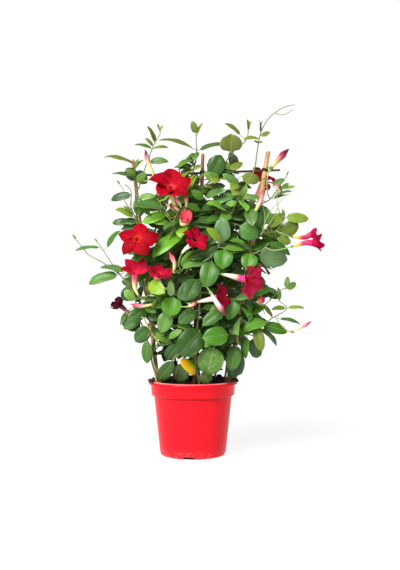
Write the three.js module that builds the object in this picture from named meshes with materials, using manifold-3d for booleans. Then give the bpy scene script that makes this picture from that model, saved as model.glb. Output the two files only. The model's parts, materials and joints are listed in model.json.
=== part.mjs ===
// A red-flowered mandevilla in its nursery pot, climbing a fan of three bamboo canes.
//
// Units are millimetres and +Z is up. The origin is the centre of the pot's underside and -Y is the
// front. The plant is set out on its front elevation: an entry [across, up, depth] is what an eye at
// EYE sees at (across, up) in the plane Y = 0, moved to Y = depth along the line of sight, so a leaf
// keeps its place in the elevation whatever its depth.

import * as THREE from 'three';
import { mergeVertices } from 'three/addons/utils/BufferGeometryUtils.js';
import Module from 'manifold-3d';

const wasm = await Module();
wasm.setup();

// ---------------------------------------------------------------- driving dimensions

const SEAT = 0.4; // clearance between pieces that touch
const EYE = new THREE.Vector3(13.4, -1650, 323.5);

const POT = {
  height: 142,
  lipRadius: 85,
  lipDepth: 8,
  collarRadius: 79.5,
  collarDepth: 29,
  wallTopRadius: 74.5,
  baseRadius: 63,
  wall: 1.8,
  sides: 28,
};
const NOTCH = { width: 23, height: 5, depth: 9, count: 4, offset: -6 }; // drains cut in the foot
const SOIL_TOP = 133;
const SOIL_SIDES = 14; // half the pot's, so that its corners meet the pot's corners

const CANES = {
  cane_left: { foot: [-69, 150], top: [-115, 564], radii: [4.5, 3.3] },
  cane_middle: { foot: [4, 150], top: [19, 575], radii: [3.9, 3.3] },
  cane_right: { foot: [70, 150], top: [144, 579], radii: [5.0, 4.7] },
};
const CANE_FOOT = 50; // how high the canes' lower ends stand in the pot
const CANE_JOINTS = 3; // swollen joints along each cane
const CANE_SIDES = 7;
const BARS = {
  crossbar_top: { from: [-127, 533], to: [167, 544], radius: 2.3 },
  crossbar_low: { from: [-90, 192], to: [98, 190], radius: 2.3 },
};
const TIE = { wall: 1.6, height: 5 };

const BUSH = { across: 20, up: 365, halfWidth: 138, halfHeight: 208, halfDepth: 120, front: -46 };
const FRONT = { across: 20, up: 330, halfWidth: 150, halfHeight: 235, depth: 98, least: 0.36 };

const STEM_SIDES = 4;
const STEM_STEP = 23; // spacing of a stem's sections
const LEAD = 4; // a side stem leaves its parent square to it for this far
const BLADE_THICKNESS = 1.5; // at the midrib
const PETIOLE_RADIUS = 0.95;
const LONG_PETIOLE = 6; // a shorter petiole has no section of its own
const BIG_LEAF = 58; // a longer blade gets a third wide section
const TINY_LEAF = 24; // a shorter one has a single section

// ---------------------------------------------------------------- the climbing stems
//
// root: where a stem stands in the soil, [x, y]. from: the stem that a side stem grows out of.
// joined: the side stem is one piece with its parent. radii: at the foot and at the tip.
// leaves: [base across, base up, tip across, tip up, seen width, setback from the front].
// fill: how many nodes carry a pair of leaves placed by rule.

const STEMS = {
  left_vine: {
    root: [-60, -28],
    radii: [2.3, 1.3],
    twine: { cane: 'cane_left', from: 206, to: 292, turns: 1.0, start: -1.9 },
    route: [[-97, 330, -24], [-103, 400, -26], [-109, 470, -24], [-111, 520, -22], [-112, 552, -22]],
    fill: 6,
    leaves: [
      [-113, 556, -173, 571, 7], [-109, 533, -129, 546, 14], [-108, 523, -90, 539, 14],
      [-109, 529, -157, 537, 6], [-110, 550, -104, 566, 6], [-110, 548, -95, 564, 5],
      [-104, 491, -71, 494, 12], [-100, 489, -108, 458, 13, 6],
    ],
  },
  left_front_shoot: {
    from: 'left_vine',
    joined: true,
    radii: [1.4, 0.9],
    route: [[-74, 236, -16], [-76, 238, -38], [-82, 234, -52], [-87, 224, -58]],
    leaves: [[-83, 237, -111, 214, 24], [-88, 216, -88, 172, 20]],
  },
  top_left_shoot: {
    from: 'left_vine',
    radii: [1.4, 0.7],
    route: [
      [-109, 505, -24], [-98, 530, -34], [-90, 554, -36], [-83, 573, -36], [-77, 588, -36],
      [-73, 597, -36], [-63, 615, -36], [-65, 628, -36],
    ],
    leaves: [
      [-83, 560, -46, 561, 13], [-77, 590, -92, 606, 7], [-79, 585, -113, 593, 6],
      [-77, 585, -46, 587, 6], [-73, 597, -88, 629, 8], [-65, 621, -69, 634, 4], [-64, 617, -57, 631, 4],
    ],
  },
  left_side_shoot: {
    from: 'left_vine',
    radii: [1.5, 0.8],
    route: [
      [-103, 412, -26], [-104, 430, -44], [-112, 456, -52], [-119, 471, -54], [-120, 506, -52],
      [-131, 517, -50],
    ],
    leaves: [
      [-119, 496, -159, 487, 16], [-115, 454, -150, 471, 12], [-119, 464, -134, 475, 6],
      [-96, 444, -52, 458, 18], [-83, 448, -44, 441, 15, 12], [-104, 444, -144, 444, 12],
      [-95, 437, -140, 431, 14, 10], [-106, 474, -81, 456, 10],
    ],
  },
  left_thin_shoot: {
    from: 'left_side_shoot',
    joined: true,
    radii: [1.0, 0.6],
    route: [[-116, 462, -53], [-125, 475, -62], [-132, 487, -64], [-134, 506, -64], [-141, 517, -62]],
    leaves: [[-141, 517, -147, 525, 3, -20]],
  },
  left_runner: {
    root: [-64, -16],
    radii: [1.9, 0.7],
    route: [
      [-77, 168, -28], [-83, 200, -30], [-93, 235, -38], [-104, 262, -38], [-115, 310, -38],
      [-127, 327, -38], [-140, 343, -38], [-154, 362, -38], [-165, 379, -38], [-184, 406, -38],
    ],
    leaves: [
      [-180, 395, -228, 389, 7], [-165, 396, -140, 429, 10], [-132, 350, -179, 358, 12],
      [-146, 343, -202, 326, 20], [-132, 339, -94, 352, 9], [-113, 295, -132, 314, 18],
      [-101, 272, -129, 260, 20], [-102, 260, -134, 239, 20, 8], [-122, 276, -140, 245, 8],
      [-184, 406, -190, 413, 3],
    ],
  },
  far_left_runner: {
    from: 'left_runner',
    joined: true,
    radii: [1.2, 0.7],
    route: [
      [-140, 343, -38], [-155, 354, -44], [-169, 364, -44], [-202, 383, -42], [-210, 393, -40],
      [-225, 411, -38],
    ],
    leaves: [[-225, 411, -232, 421, 4]],
  },
  left_low_shoot: {
    from: 'left_vine',
    radii: [1.5, 0.9],
    route: [[-92, 300, -24], [-88, 302, -42], [-80, 306, -56], [-70, 302, -64], [-60, 298, -66]],
    leaves: [[-84, 327, -54, 308, 27], [-67, 293, -121, 295, 8]],
  },
  middle_vine: {
    root: [14, -22],
    radii: [2.3, 0.9],
    route: [
      [6, 200, -26], [2, 300, -28], [0, 400, -26], [-6, 458, -24], [-2, 525, -20], [4, 558, -18],
      [7, 573, -18], [6, 600, -20], [6, 613, -20],
    ],
    fill: 8,
    leaves: [
      [0, 585, -67, 602, 7], [13, 583, 60, 594, 9], [6, 615, -2, 639, 14], [8, 612, 19, 635, 5],
      [-6, 544, -38, 550, 6], [-6, 546, -25, 556, 5], [-2, 545, 19, 552, 8],
      [14, 468, -16, 477, 14], [19, 489, -4, 506, 16], [25, 492, 63, 506, 14],
    ],
  },
  centre_low_left_shoot: {
    from: 'middle_vine',
    joined: true,
    radii: [1.5, 0.9],
    route: [[4, 245, -27], [-12, 238, -44], [-30, 240, -58], [-44, 252, -66], [-49, 266, -66]],
    leaves: [[-48, 268, -63, 231, 18, 14], [-46, 222, -21, 237, 13, 10]],
  },
  upper_left_shoot: {
    from: 'middle_vine',
    radii: [1.5, 0.9],
    route: [[-4, 440, -25], [-12, 446, -40], [-22, 452, -54], [-30, 462, -60], [-34, 474, -58]],
    leaves: [[-16, 425, -79, 377, 26], [-14, 408, -54, 404, 14]],
  },
  upper_right_shoot: {
    from: 'middle_vine',
    radii: [1.6, 0.8],
    route: [
      [-3, 496, -22], [14, 508, -32], [38, 528, -36], [58, 552, -34], [73, 575, -34], [83, 586, -34],
      [98, 597, -34], [105, 610, -34], [106, 622, -34],
    ],
    leaves: [
      [73, 579, 73, 614, 44], [90, 612, 60, 635, 8], [98, 604, 127, 604, 7], [106, 621, 104, 642, 6],
      [106, 620, 112, 638, 4], [36, 531, 54, 575, 32], [50, 525, 22, 537, 20, 10],
      [72, 548, 50, 562, 14], [71, 546, 96, 558, 14],
    ],
  },
  centre_left_shoot: {
    from: 'middle_vine',
    radii: [1.6, 1.0],
    route: [[2, 308, -28], [-10, 304, -46], [-24, 304, -62], [-38, 306, -72], [-48, 310, -74]],
    leaves: [[-42, 302, -44, 333, 14], [-38, 300, -46, 262, 38]],
  },
  centre_shoot: {
    from: 'middle_vine',
    radii: [1.6, 0.9],
    route: [[0, 372, -27], [-8, 370, -46], [-14, 362, -62], [-22, 350, -70], [-30, 346, -72]],
    leaves: [[6, 385, -23, 360, 24]],
  },
  front_vine: {
    root: [12, -50],
    radii: [2.3, 1.1],
    route: [
      [6, 170, -56], [6, 210, -62], [8, 240, -66], [12, 280, -68], [18, 330, -70], [32, 368, -70],
      [48, 395, -68], [58, 420, -62], [66, 448, -54], [80, 474, -46], [87, 500, -40], [86, 526, -36],
    ],
    leaves: [
      [13, 235, -27, 187, 48], [6, 274, -29, 251, 26], [6, 331, -12, 295, 32], [36, 368, 25, 318, 36],
      [60, 391, 56, 354, 36], [56, 406, 56, 454, 32], [54, 408, 25, 433, 16, -8], [69, 410, 100, 404, 8],
      [90, 437, 125, 414, 34], [88, 514, 56, 537, 16], [94, 532, 129, 523, 22], [90, 477, 104, 514, 14],
      [62, 475, 84, 484, 12], [40, 425, 10, 410, 24, 16], [20, 158, 30, 133, 26, 12],
    ],
  },
  centre_low_shoot: {
    from: 'front_vine',
    radii: [1.5, 1.0],
    route: [[6, 186, -59], [-8, 192, -68], [-20, 194, -74], [-34, 186, -76], [-40, 178, -74]],
    leaves: [
      [-29, 208, -52, 180, 26, 14], [-38, 176, -69, 139, 26], [-15, 172, -31, 136, 32, 4],
      [-24, 180, 6, 151, 16],
    ],
  },
  front_low_right_shoot: {
    from: 'front_vine',
    radii: [1.6, 1.0],
    route: [[6, 216, -62], [20, 214, -74], [38, 218, -78], [62, 230, -76]],
    leaves: [[40, 204, 27, 149, 50], [67, 228, 17, 222, 36]],
  },
  right_vine: {
    root: [60, -20],
    radii: [2.4, 1.3],
    route: [
      [68, 190, -26], [76, 224, -28], [90, 300, -28], [102, 380, -28], [112, 440, -26], [118, 488, -24],
    ],
    fill: 6,
    leaves: [[92, 260, 84, 228, 10], [98, 348, 69, 340, 20]],
  },
  rim_shoot: {
    from: 'right_vine',
    joined: true,
    radii: [1.4, 1.0],
    route: [[68, 186, -26], [74, 190, -42], [80, 194, -54], [84, 188, -60]],
    leaves: [[81, 204, 73, 158, 30], [81, 178, 75, 143, 26, 10]],
  },
  centre_right_shoot: {
    from: 'right_vine',
    radii: [1.5, 0.9],
    route: [[88, 288, -28], [80, 294, -46], [68, 296, -60], [54, 290, -68]],
    leaves: [[81, 299, 67, 256, 30], [54, 289, 38, 256, 26, 6], [60, 278, 17, 245, 24, 12]],
  },
  right_drooping_shoot: {
    from: 'right_vine',
    radii: [1.6, 0.9],
    route: [[79, 238, -28], [88, 234, -46], [102, 230, -56], [116, 226, -58]],
    leaves: [[104, 222, 100, 181, 15, 8], [117, 222, 123, 181, 26]],
  },
  right_low_shoot: {
    from: 'right_vine',
    radii: [1.6, 0.7],
    route: [
      [84, 266, -28], [94, 258, -44], [114, 246, -52], [132, 247, -50], [152, 260, -46], [180, 279, -42],
      [165, 293, -42],
    ],
    leaves: [
      [121, 239, 131, 206, 20], [131, 239, 163, 206, 10], [134, 246, 182, 233, 22],
      [167, 258, 209, 247, 7], [178, 279, 150, 277, 9], [182, 279, 215, 279, 7], [165, 293, 163, 320, 8],
    ],
  },
  right_thin_shoot: {
    from: 'right_vine',
    radii: [1.3, 0.7],
    route: [
      [93, 318, -28], [106, 304, -46], [120, 290, -54], [134, 284, -56], [148, 295, -54],
      [165, 312, -50], [179, 318, -48],
    ],
    leaves: [[134, 283, 154, 258, 8], [179, 318, 182, 340, 11], [180, 316, 198, 328, 13]],
  },
  right_middle_shoot: {
    from: 'right_vine',
    radii: [1.7, 1.0],
    route: [[101, 372, -28], [110, 378, -48], [122, 386, -60], [136, 394, -60], [146, 404, -56]],
    leaves: [
      [127, 381, 182, 372, 38], [115, 391, 152, 408, 12, 8], [144, 404, 188, 381, 16, 14],
      [111, 384, 104, 352, 32],
    ],
  },
  right_shoot: {
    from: 'right_vine',
    radii: [1.7, 0.8],
    route: [
      [109, 424, -26], [120, 424, -44], [140, 424, -50], [158, 427, -46], [170, 440, -42],
      [177, 454, -40],
    ],
    leaves: [
      [123, 425, 163, 404, 18, 8], [163, 414, 188, 404, 18, 6], [163, 425, 200, 429, 22],
      [144, 437, 175, 460, 22], [179, 454, 223, 450, 20], [175, 454, 171, 469, 6],
      [132, 440, 106, 468, 24], [129, 431, 129, 464, 14, 10],
    ],
  },
  right_top_shoot: {
    from: 'right_vine',
    radii: [1.3, 0.7],
    route: [
      [117, 476, -24], [132, 480, -38], [148, 488, -42], [157, 500, -40], [165, 512, -38],
      [180, 533, -36],
    ],
    leaves: [
      [153, 515, 177, 527, 12], [169, 508, 184, 519, 9], [178, 508, 196, 513, 6],
      [157, 493, 192, 504, 6], [155, 489, 186, 496, 4], [180, 533, 184, 542, 3],
    ],
  },
  tendril_shoot: {
    from: 'front_vine',
    radii: [1.3, 0.5],
    route: [
      [87, 494, -42], [98, 508, -44], [117, 544, -40], [123, 579, -36], [127, 605, -36], [132, 621, -36],
      [144, 642, -36], [157, 654, -36], [171, 663, -36], [186, 668, -36], [196, 669, -36],
    ],
    leaves: [
      [130, 610, 148, 617, 9], [125, 596, 117, 601, 4], [125, 596, 134, 599, 4], [129, 618, 126, 642, 3],
      [130, 618, 134, 640, 3],
    ],
  },
  tendril_branch: {
    from: 'tendril_shoot',
    joined: true,
    radii: [0.7, 0.5],
    route: [[157, 654, -36], [171, 650, -40], [182, 654, -40], [192, 660, -38]],
    leaves: [],
  },
  back_left_vine: {
    root: [-28, 36],
    radii: [2.2, 1.2],
    route: [[-38, 200, 40], [-54, 300, 48], [-62, 400, 44], [-56, 470, 36], [-46, 518, 28]],
    fill: 9,
    leaves: [],
  },
  back_left_shoot: {
    from: 'back_left_vine',
    radii: [1.5, 0.9],
    route: [[-60, 350, 47], [-80, 362, 54], [-104, 382, 50], [-122, 408, 40]],
    fill: 5,
    leaves: [],
  },
  back_low_left_shoot: {
    from: 'back_left_vine',
    joined: true,
    radii: [1.5, 0.9],
    route: [[-45, 240, 43], [-64, 234, 56], [-88, 228, 56]],
    fill: 3,
    leaves: [],
  },
  back_right_vine: {
    root: [42, 34],
    radii: [2.2, 1.2],
    route: [[52, 200, 40], [68, 300, 48], [80, 400, 44], [84, 470, 36], [80, 518, 28]],
    fill: 9,
    leaves: [],
  },
  back_right_shoot: {
    from: 'back_right_vine',
    radii: [1.5, 0.9],
    route: [[74, 350, 47], [96, 362, 54], [122, 382, 50], [142, 408, 40]],
    fill: 5,
    leaves: [],
  },
  back_low_right_shoot: {
    from: 'back_right_vine',
    joined: true,
    radii: [1.5, 0.9],
    route: [[58, 240, 43], [80, 234, 56], [104, 228, 56]],
    fill: 3,
    leaves: [],
  },
  back_middle_vine: {
    root: [6, 52],
    radii: [2.2, 1.2],
    route: [[10, 220, 64], [4, 320, 72], [12, 420, 66], [18, 490, 48], [20, 535, 34]],
    fill: 9,
    leaves: [],
  },
};

// ---------------------------------------------------------------- blooms and buds
//
// route: from the parent stem to the throat. facing: the way that the throat looks. reach: throat
// to petal tip. lift: how far the petals rise from flat, in radians. turn: of the first petal.

const BLOOMS = {
  bloom_upper_left: {
    from: 'upper_left_shoot', route: [[-34, 473, -58], [-38, 488, -66], [-42, 512, -78]],
    facing: [0.05, -0.72, 0.69], reach: 43, lift: 0.12, turn: 0.3,
  },
  bloom_left: {
    from: 'left_side_shoot', route: [[-103, 424, -40], [-104, 416, -54], [-107, 413, -84]],
    facing: [-0.08, -0.86, 0.5], reach: 41, lift: 0.1, turn: 0.9,
  },
  bloom_low_left: {
    from: 'left_low_shoot', route: [[-80, 305, -56], [-98, 298, -66], [-111, 316, -72], [-111, 347, -72]],
    facing: [0.1, -0.3, 0.95], reach: 31, lift: 0.4, turn: 0.3,
  },
  bloom_centre_left: {
    from: 'centre_left_shoot', route: [[-47, 310, -74], [-60, 320, -78], [-68, 334, -80], [-66, 346, -82]],
    facing: [0.3, -0.45, 0.84], reach: 31, lift: 0.32, turn: 0.5,
  },
  bloom_young: {
    from: 'upper_left_shoot', route: [[-24, 454, -55], [-22, 440, -66], [-10, 450, -80]],
    facing: [0.2, -0.8, 0.55], reach: 17, lift: 0.8, turn: 0.2,
  },
  bloom_centre: {
    from: 'centre_shoot', route: [[-22, 350, -70], [-28, 362, -78], [-20, 386, -84], [4, 411, -88]],
    facing: [0.4, -0.74, 0.54], reach: 27, lift: 0.3, turn: 0.7,
  },
  bloom_right: {
    from: 'front_vine', route: [[22, 340, -70], [30, 346, -84], [62, 343, -90], [106, 333, -90]],
    facing: [0.84, -0.5, -0.2], reach: 41, lift: 0.5, turn: 0.4,
  },
  bloom_low_right: {
    from: 'centre_left_shoot', route: [[-12, 304, -49], [-14, 290, -66], [12, 292, -83], [50, 300, -86]],
    facing: [0.88, -0.42, 0.22], reach: 29, lift: 0.6, turn: 0.1,
  },
  bloom_far_right: {
    from: 'right_shoot', route: [[160, 427, -46], [172, 422, -52], [190, 416, -48], [226, 420, -44]],
    facing: [0.9, 0.1, 0.42], reach: 19, lift: 0.6, turn: 0.6,
  },
  bloom_far_right_low: {
    from: 'right_middle_shoot', route: [[138, 396, -60], [156, 390, -76], [196, 399, -82], [230, 404, -88]],
    facing: [0.86, -0.5, -0.08], reach: 24, lift: 0.5, turn: 0.2,
  },
  bloom_withered: {
    from: 'left_runner', route: [[-102, 256, -38], [-124, 268, -46], [-140, 284, -48]],
    facing: [-0.7, -0.35, 0.6], reach: 15, lift: 0.9, turn: 0.4,
  },
  bloom_behind_cane: {
    from: 'right_vine', route: [[115, 458, -25], [103, 472, -10], [118, 492, 14], [138, 524, 26]],
    facing: [0.55, 0.2, 0.81], reach: 25, lift: 0.3, turn: 0.0,
  },
};

// route: from the parent stem to the bud's point. length: of the bud itself. girth: its radius.
const BUDS = {
  bud_top_left: {
    from: 'top_left_shoot',
    spikes: [{
      route: [[-99, 526, -33], [-88, 524, -46], [-77, 532, -50], [-86, 560, -50], [-92, 584, -50]],
      girth: 3.9, length: 56,
    }],
  },
  bud_top_right: {
    from: 'right_top_shoot',
    spikes: [{
      route: [[150, 489, -42], [142, 512, -52], [146, 542, -52], [164, 564, -52], [184, 585, -52]],
      girth: 4.3, length: 46,
    }],
  },
  bud_right_small: {
    from: 'right_top_shoot',
    spikes: [{
      route: [[158, 501, -40], [166, 498, -50], [163, 508, -52], [158, 521, -52]],
      girth: 1.9, length: 17,
    }],
  },
  bud_cluster: {
    from: 'upper_left_shoot',
    spikes: [
      {
        route: [[-31, 464, -60], [-22, 462, -70], [-14, 472, -74], [-13, 498, -76]],
        girth: 2.6, length: 26,
      },
      { route: [[-22, 462, -70], [-24, 476, -76], [-36, 494, -80]], girth: 2.4, length: 26 },
      { route: [[-22, 462, -70], [-28, 468, -80], [-42, 477, -86]], girth: 2.5, length: 20 },
      { route: [[-22, 462, -70], [-36, 466, -84], [-54, 482, -90]], girth: 1.8, length: 14 },
    ],
  },
  bud_left_low: {
    from: 'left_low_shoot',
    spikes: [{
      route: [[-68, 301, -64], [-76, 288, -74], [-98, 283, -78], [-121, 287, -78]],
      girth: 2.5, length: 38,
    }],
  },
  bud_centre: {
    from: 'centre_shoot',
    spikes: [{
      route: [[-29, 346, -72], [-36, 348, -84], [-36, 366, -88], [-46, 387, -88]],
      girth: 2.9, length: 38,
    }],
  },
  bud_centre_low: {
    from: 'centre_left_shoot',
    spikes: [{
      route: [[-25, 304, -63], [-26, 284, -80], [-10, 282, -90], [9, 290, -94]],
      girth: 2.0, length: 20,
    }],
  },
  bud_hanging: {
    from: 'front_vine',
    spikes: [{
      route: [[17, 322, -70], [26, 320, -92], [44, 292, -114], [62, 266, -120]],
      girth: 5.2, length: 50,
    }],
  },
  bud_right_low: {
    from: 'right_low_shoot',
    spikes: [{
      route: [[156, 263, -46], [170, 246, -56], [186, 234, -58], [208, 242, -58], [228, 254, -58]],
      girth: 3.0, length: 44,
    }],
  },
  bud_right_round: {
    from: 'right_thin_shoot',
    spikes: [{ route: [[133, 284, -56], [128, 292, -68], [138, 298, -72]], girth: 2.9, length: 11 }],
  },
  bud_before_cane: {
    from: 'right_vine',
    spikes: [{
      route: [[111, 434, -26], [108, 442, -44], [118, 462, -50], [130, 488, -50], [138, 512, -50]],
      girth: 4.2, length: 54,
    }],
  },
};

// ---------------------------------------------------------------- materials

function finish(color, roughness) {
  return new THREE.MeshStandardMaterial({ color, roughness, metalness: 0, side: THREE.DoubleSide });
}

const PLASTIC = finish(0xf02a3a, 0.32);
const SOIL = finish(0x241b14, 0.95);
const BAMBOO = finish(0xcaa873, 0.6);
const BAR = finish(0x5a4326, 0.8);
const FOLIAGE = finish(0x4f8030, 0.42);
const PETAL = finish(0xd11432, 0.6);
const WITHERED = finish(0x63263a, 0.8);
const BUD = finish(0xe0677f, 0.55);

// ---------------------------------------------------------------- solids

// A closed geometry as a manifold solid, with its shared corners merged and slivers at poles dropped.
function solidOf(geometry) {
  const bare = geometry.clone();
  bare.deleteAttribute('normal');
  bare.deleteAttribute('uv');
  const merged = mergeVertices(bare, 1e-4);
  const corners = [...merged.index.array];
  const kept = [];
  for (let i = 0; i < corners.length; i += 3) {
    const [a, b, c] = corners.slice(i, i + 3);
    if (a !== b && b !== c && c !== a) kept.push(a, b, c);
  }
  return new wasm.Manifold(new wasm.Mesh({
    numProp: 3,
    vertProperties: new Float32Array(merged.attributes.position.array),
    triVerts: new Uint32Array(kept),
  }));
}

function geometryOf(solid) {
  const mesh = solid.getMesh();
  const geometry = new THREE.BufferGeometry();
  geometry.setAttribute('position', new THREE.BufferAttribute(new Float32Array(mesh.vertProperties), 3));
  geometry.setIndex([...mesh.triVerts]);
  geometry.computeVertexNormals();
  return geometry;
}

const joined = (solids) => solids.reduce((whole, solid) => whole.add(solid));

const part = new THREE.Group();

function addPiece(name, solid, material) {
  const mesh = new THREE.Mesh(geometryOf(solid), material);
  mesh.name = name;
  part.add(mesh);
}

// A body lofted through rings of equal count. A ring of one point closes an end to that point, and
// any other end is capped. Odd quads split the other way, so both faces of a blade split alike.
function loft(rings) {
  const points = rings.flat();
  const triangles = [];
  let offset = 0;
  for (let r = 0; r + 1 < rings.length; r += 1) {
    const count = rings[r].length;
    const next = offset + count;
    for (let j = 0; j < count; j += 1) {
      const k = (j + 1) % count;
      const [a, b, c, d] = [offset + j, offset + k, next + k, next + j];
      if (rings[r + 1].length === 1) triangles.push([a, b, next]);
      else if (j % 2 === 0) triangles.push([a, b, c], [a, c, d]);
      else triangles.push([a, b, d], [b, c, d]);
    }
    offset = next;
  }
  const last = rings.at(-1).length;
  for (let j = 1; j + 1 < rings[0].length; j += 1) triangles.push([0, j + 1, j]);
  for (let j = 1; j + 1 < last; j += 1) triangles.push([offset, offset + j, offset + j + 1]);
  return closedSolid(points, triangles);
}

// A closed surface from corners and triangles, turned to face outwards.
function closedSolid(points, triangles) {
  const volume = triangles.reduce(
    (sum, [a, b, c]) => sum + points[a].dot(points[b].clone().cross(points[c])),
    0,
  );
  if (volume < 0) triangles.forEach((triangle) => triangle.reverse());
  const geometry = new THREE.BufferGeometry().setFromPoints(points);
  geometry.setIndex(triangles.flat());
  return solidOf(geometry);
}

function lathe(profile, sides) {
  const points = profile.map(([radius, height]) => new THREE.Vector2(radius, height));
  return new THREE.LatheGeometry(points, sides).rotateX(Math.PI / 2);
}

// ---------------------------------------------------------------- setting out

function place([across, up, depth]) {
  const scale = 1 - depth / EYE.y;
  return new THREE.Vector3(EYE.x + (across - EYE.x) * scale, depth, EYE.z + (up - EYE.z) * scale);
}

function elevationOf(point) {
  const scale = 1 - point.y / EYE.y;
  return [EYE.x + (point.x - EYE.x) / scale, EYE.z + (point.z - EYE.z) / scale];
}

// Depth of the bush's rounded front at a place in the elevation.
function frontDepth(across, up) {
  const x = (across - FRONT.across) / FRONT.halfWidth;
  const z = (up - FRONT.up) / FRONT.halfHeight;
  return -FRONT.depth * Math.sqrt(Math.max(FRONT.least ** 2, 1 - x * x - z * z));
}

// Evenly drawn numbers from 0 to 1, the same on every run.
function randomStream(seed) {
  let state = (seed * 7919 + 12345) % 2147483647;
  return () => {
    state = (state * 16807) % 2147483647;
    return state / 2147483647;
  };
}

const mix = (a, b, share) => a + (b - a) * share;

// ---------------------------------------------------------------- pot and soil

function potSolid() {
  const { height, lipRadius, lipDepth, collarRadius, collarDepth, wallTopRadius, baseRadius, wall } = POT;
  const step = height - collarDepth;
  const profile = [
    [0, 0], [baseRadius - 5, 0], [baseRadius, 5], [wallTopRadius, step - 1.5], [collarRadius, step + 2],
    [collarRadius + 1, height - lipDepth], [lipRadius, height - lipDepth + 1], [lipRadius, height - 1],
    [lipRadius - 2, height], [collarRadius + 1 - wall, height - lipDepth - 1],
    [collarRadius - wall, step + 2], [wallTopRadius - wall, step - 1], [baseRadius - wall - 0.4, 7],
    [baseRadius - 5, 2.6], [0, 2.6],
  ];
  let pot = solidOf(lathe(profile, POT.sides));
  for (let i = 0; i < NOTCH.count; i += 1) {
    const box = new THREE.BoxGeometry(NOTCH.width, NOTCH.depth, NOTCH.height * 2);
    box.translate(NOTCH.offset, -baseRadius, 0);
    box.rotateZ((i * 2 * Math.PI) / NOTCH.count);
    pot = pot.subtract(solidOf(box));
  }
  return pot;
}

function soilSolid() {
  const step = POT.height - POT.collarDepth;
  const gap = POT.wall + SEAT;
  const profile = [
    [0, 2.6 + SEAT], [POT.baseRadius - 7, 2.6 + SEAT], [POT.baseRadius - gap - 1, 8],
    [POT.wallTopRadius - gap - 0.3, step - 1.5], [POT.collarRadius - gap - 0.3, step + 4],
    [POT.collarRadius - gap - 0.3, SOIL_TOP - 3], [60, SOIL_TOP], [30, SOIL_TOP], [0, SOIL_TOP],
  ];
  const geometry = lathe(profile, SOIL_SIDES);
  const position = geometry.attributes.position;
  for (let i = 0; i < position.count; i += 1) {
    const x = position.getX(i);
    const y = position.getY(i);
    if (position.getZ(i) < SOIL_TOP - 0.5) continue;
    const clods = Math.sin(x * 0.31 + 1) * Math.cos(y * 0.27) + Math.sin(x * 0.13 - y * 0.19);
    position.setZ(i, SOIL_TOP + 1.3 * clods);
  }
  return solidOf(geometry);
}

// An upright or leaning hole of six sides that a stem of this radius stands in.
function holeSolid(bottom, top, radius) {
  const reach = (radius + SEAT) / Math.cos(Math.PI / 6);
  return solidOf(rodGeometry(bottom, top, reach, reach, 6));
}

function rodGeometry(bottom, top, bottomRadius, topRadius, sides) {
  const axis = top.clone().sub(bottom);
  const geometry = new THREE.CylinderGeometry(topRadius, bottomRadius, axis.length(), sides);
  const upright = new THREE.Vector3(0, 1, 0);
  const turn = new THREE.Quaternion().setFromUnitVectors(upright, axis.normalize());
  return geometry.applyQuaternion(turn).translate(...bottom.clone().add(top).divideScalar(2).toArray());
}

// ---------------------------------------------------------------- canes, crossbars and ties

// The canes lean on the front of the crossbars, so their depth follows from both radii.
function caneAxis(name, height) {
  const { foot, top, radii } = CANES[name];
  const share = (height - foot[1]) / (top[1] - foot[1]);
  const radius = mix(radii[0], radii[1], share);
  const depth = -(radius + BARS.crossbar_top.radius + SEAT);
  return { point: new THREE.Vector3(mix(foot[0], top[0], share), depth, height), radius };
}

function caneSolid(name) {
  const top = CANES[name].top[1];
  const rings = [];
  const addRing = (height, swell) => {
    const { point, radius } = caneAxis(name, height);
    const ring = [];
    for (let j = 0; j < CANE_SIDES; j += 1) {
      const angle = ((j + 0.5) / CANE_SIDES) * 2 * Math.PI;
      const reach = (radius + swell) / 1.02;
      ring.push(new THREE.Vector3(Math.cos(angle) * reach, Math.sin(angle) * reach, 0).add(point));
    }
    rings.push(ring);
  };
  addRing(CANE_FOOT, 0);
  for (let i = 1; i <= CANE_JOINTS; i += 1) {
    const height = mix(SOIL_TOP, top, (i - 0.35) / CANE_JOINTS);
    addRing(height - 3, -0.25);
    addRing(height, 0);
    addRing(height + 3, -0.25);
  }
  addRing(top, 0);
  return loft(rings);
}

function barSolid(name) {
  const { from, to, radius } = BARS[name];
  const left = new THREE.Vector3(from[0], 0, from[1]);
  const right = new THREE.Vector3(to[0], 0, to[1]);
  const pieces = [solidOf(rodGeometry(left, right, radius, radius, 6))];
  for (const cane of Object.keys(CANES)) {
    const slope = (to[1] - from[1]) / (to[0] - from[0]);
    let height = from[1];
    for (let i = 0; i < 4; i += 1) height = from[1] + (caneAxis(cane, height).point.x - from[0]) * slope;
    const crossing = caneAxis(cane, height);
    const inner = (crossing.radius + SEAT) / Math.cos(Math.PI / 6);
    const outer = inner + TIE.wall;
    const half = TIE.height / 2;
    const ring = lathe([[inner, -half], [outer, -half], [outer, half], [inner, half], [inner, -half]], 6);
    const { foot, top } = CANES[cane];
    const lean = Math.atan2(top[0] - foot[0], top[1] - foot[1]);
    ring.rotateY(lean).translate(...crossing.point.toArray());
    pieces.push(solidOf(ring));
  }
  return joined(pieces);
}

// ---------------------------------------------------------------- stems

function curveThrough(points, step) {
  const curve = new THREE.CatmullRomCurve3(points);
  const spans = points.length - 1;
  const centres = [points[0].clone()];
  for (let i = 0; i < spans; i += 1) {
    const count = Math.max(1, Math.round(points[i].distanceTo(points[i + 1]) / step));
    for (let k = 1; k <= count; k += 1) centres.push(curve.getPoint((i + k / count) / spans));
  }
  return centres;
}

// A stem as its line of centres, each with a radius, and the length along it.
function lineOf(centres, radii) {
  const along = [0];
  for (let i = 1; i < centres.length; i += 1) {
    along.push(along[i - 1] + centres[i].distanceTo(centres[i - 1]));
  }
  const length = along.at(-1);
  return { centres, along, length, radii: along.map((s) => mix(radii[0], radii[1], s / length)) };
}

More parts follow.
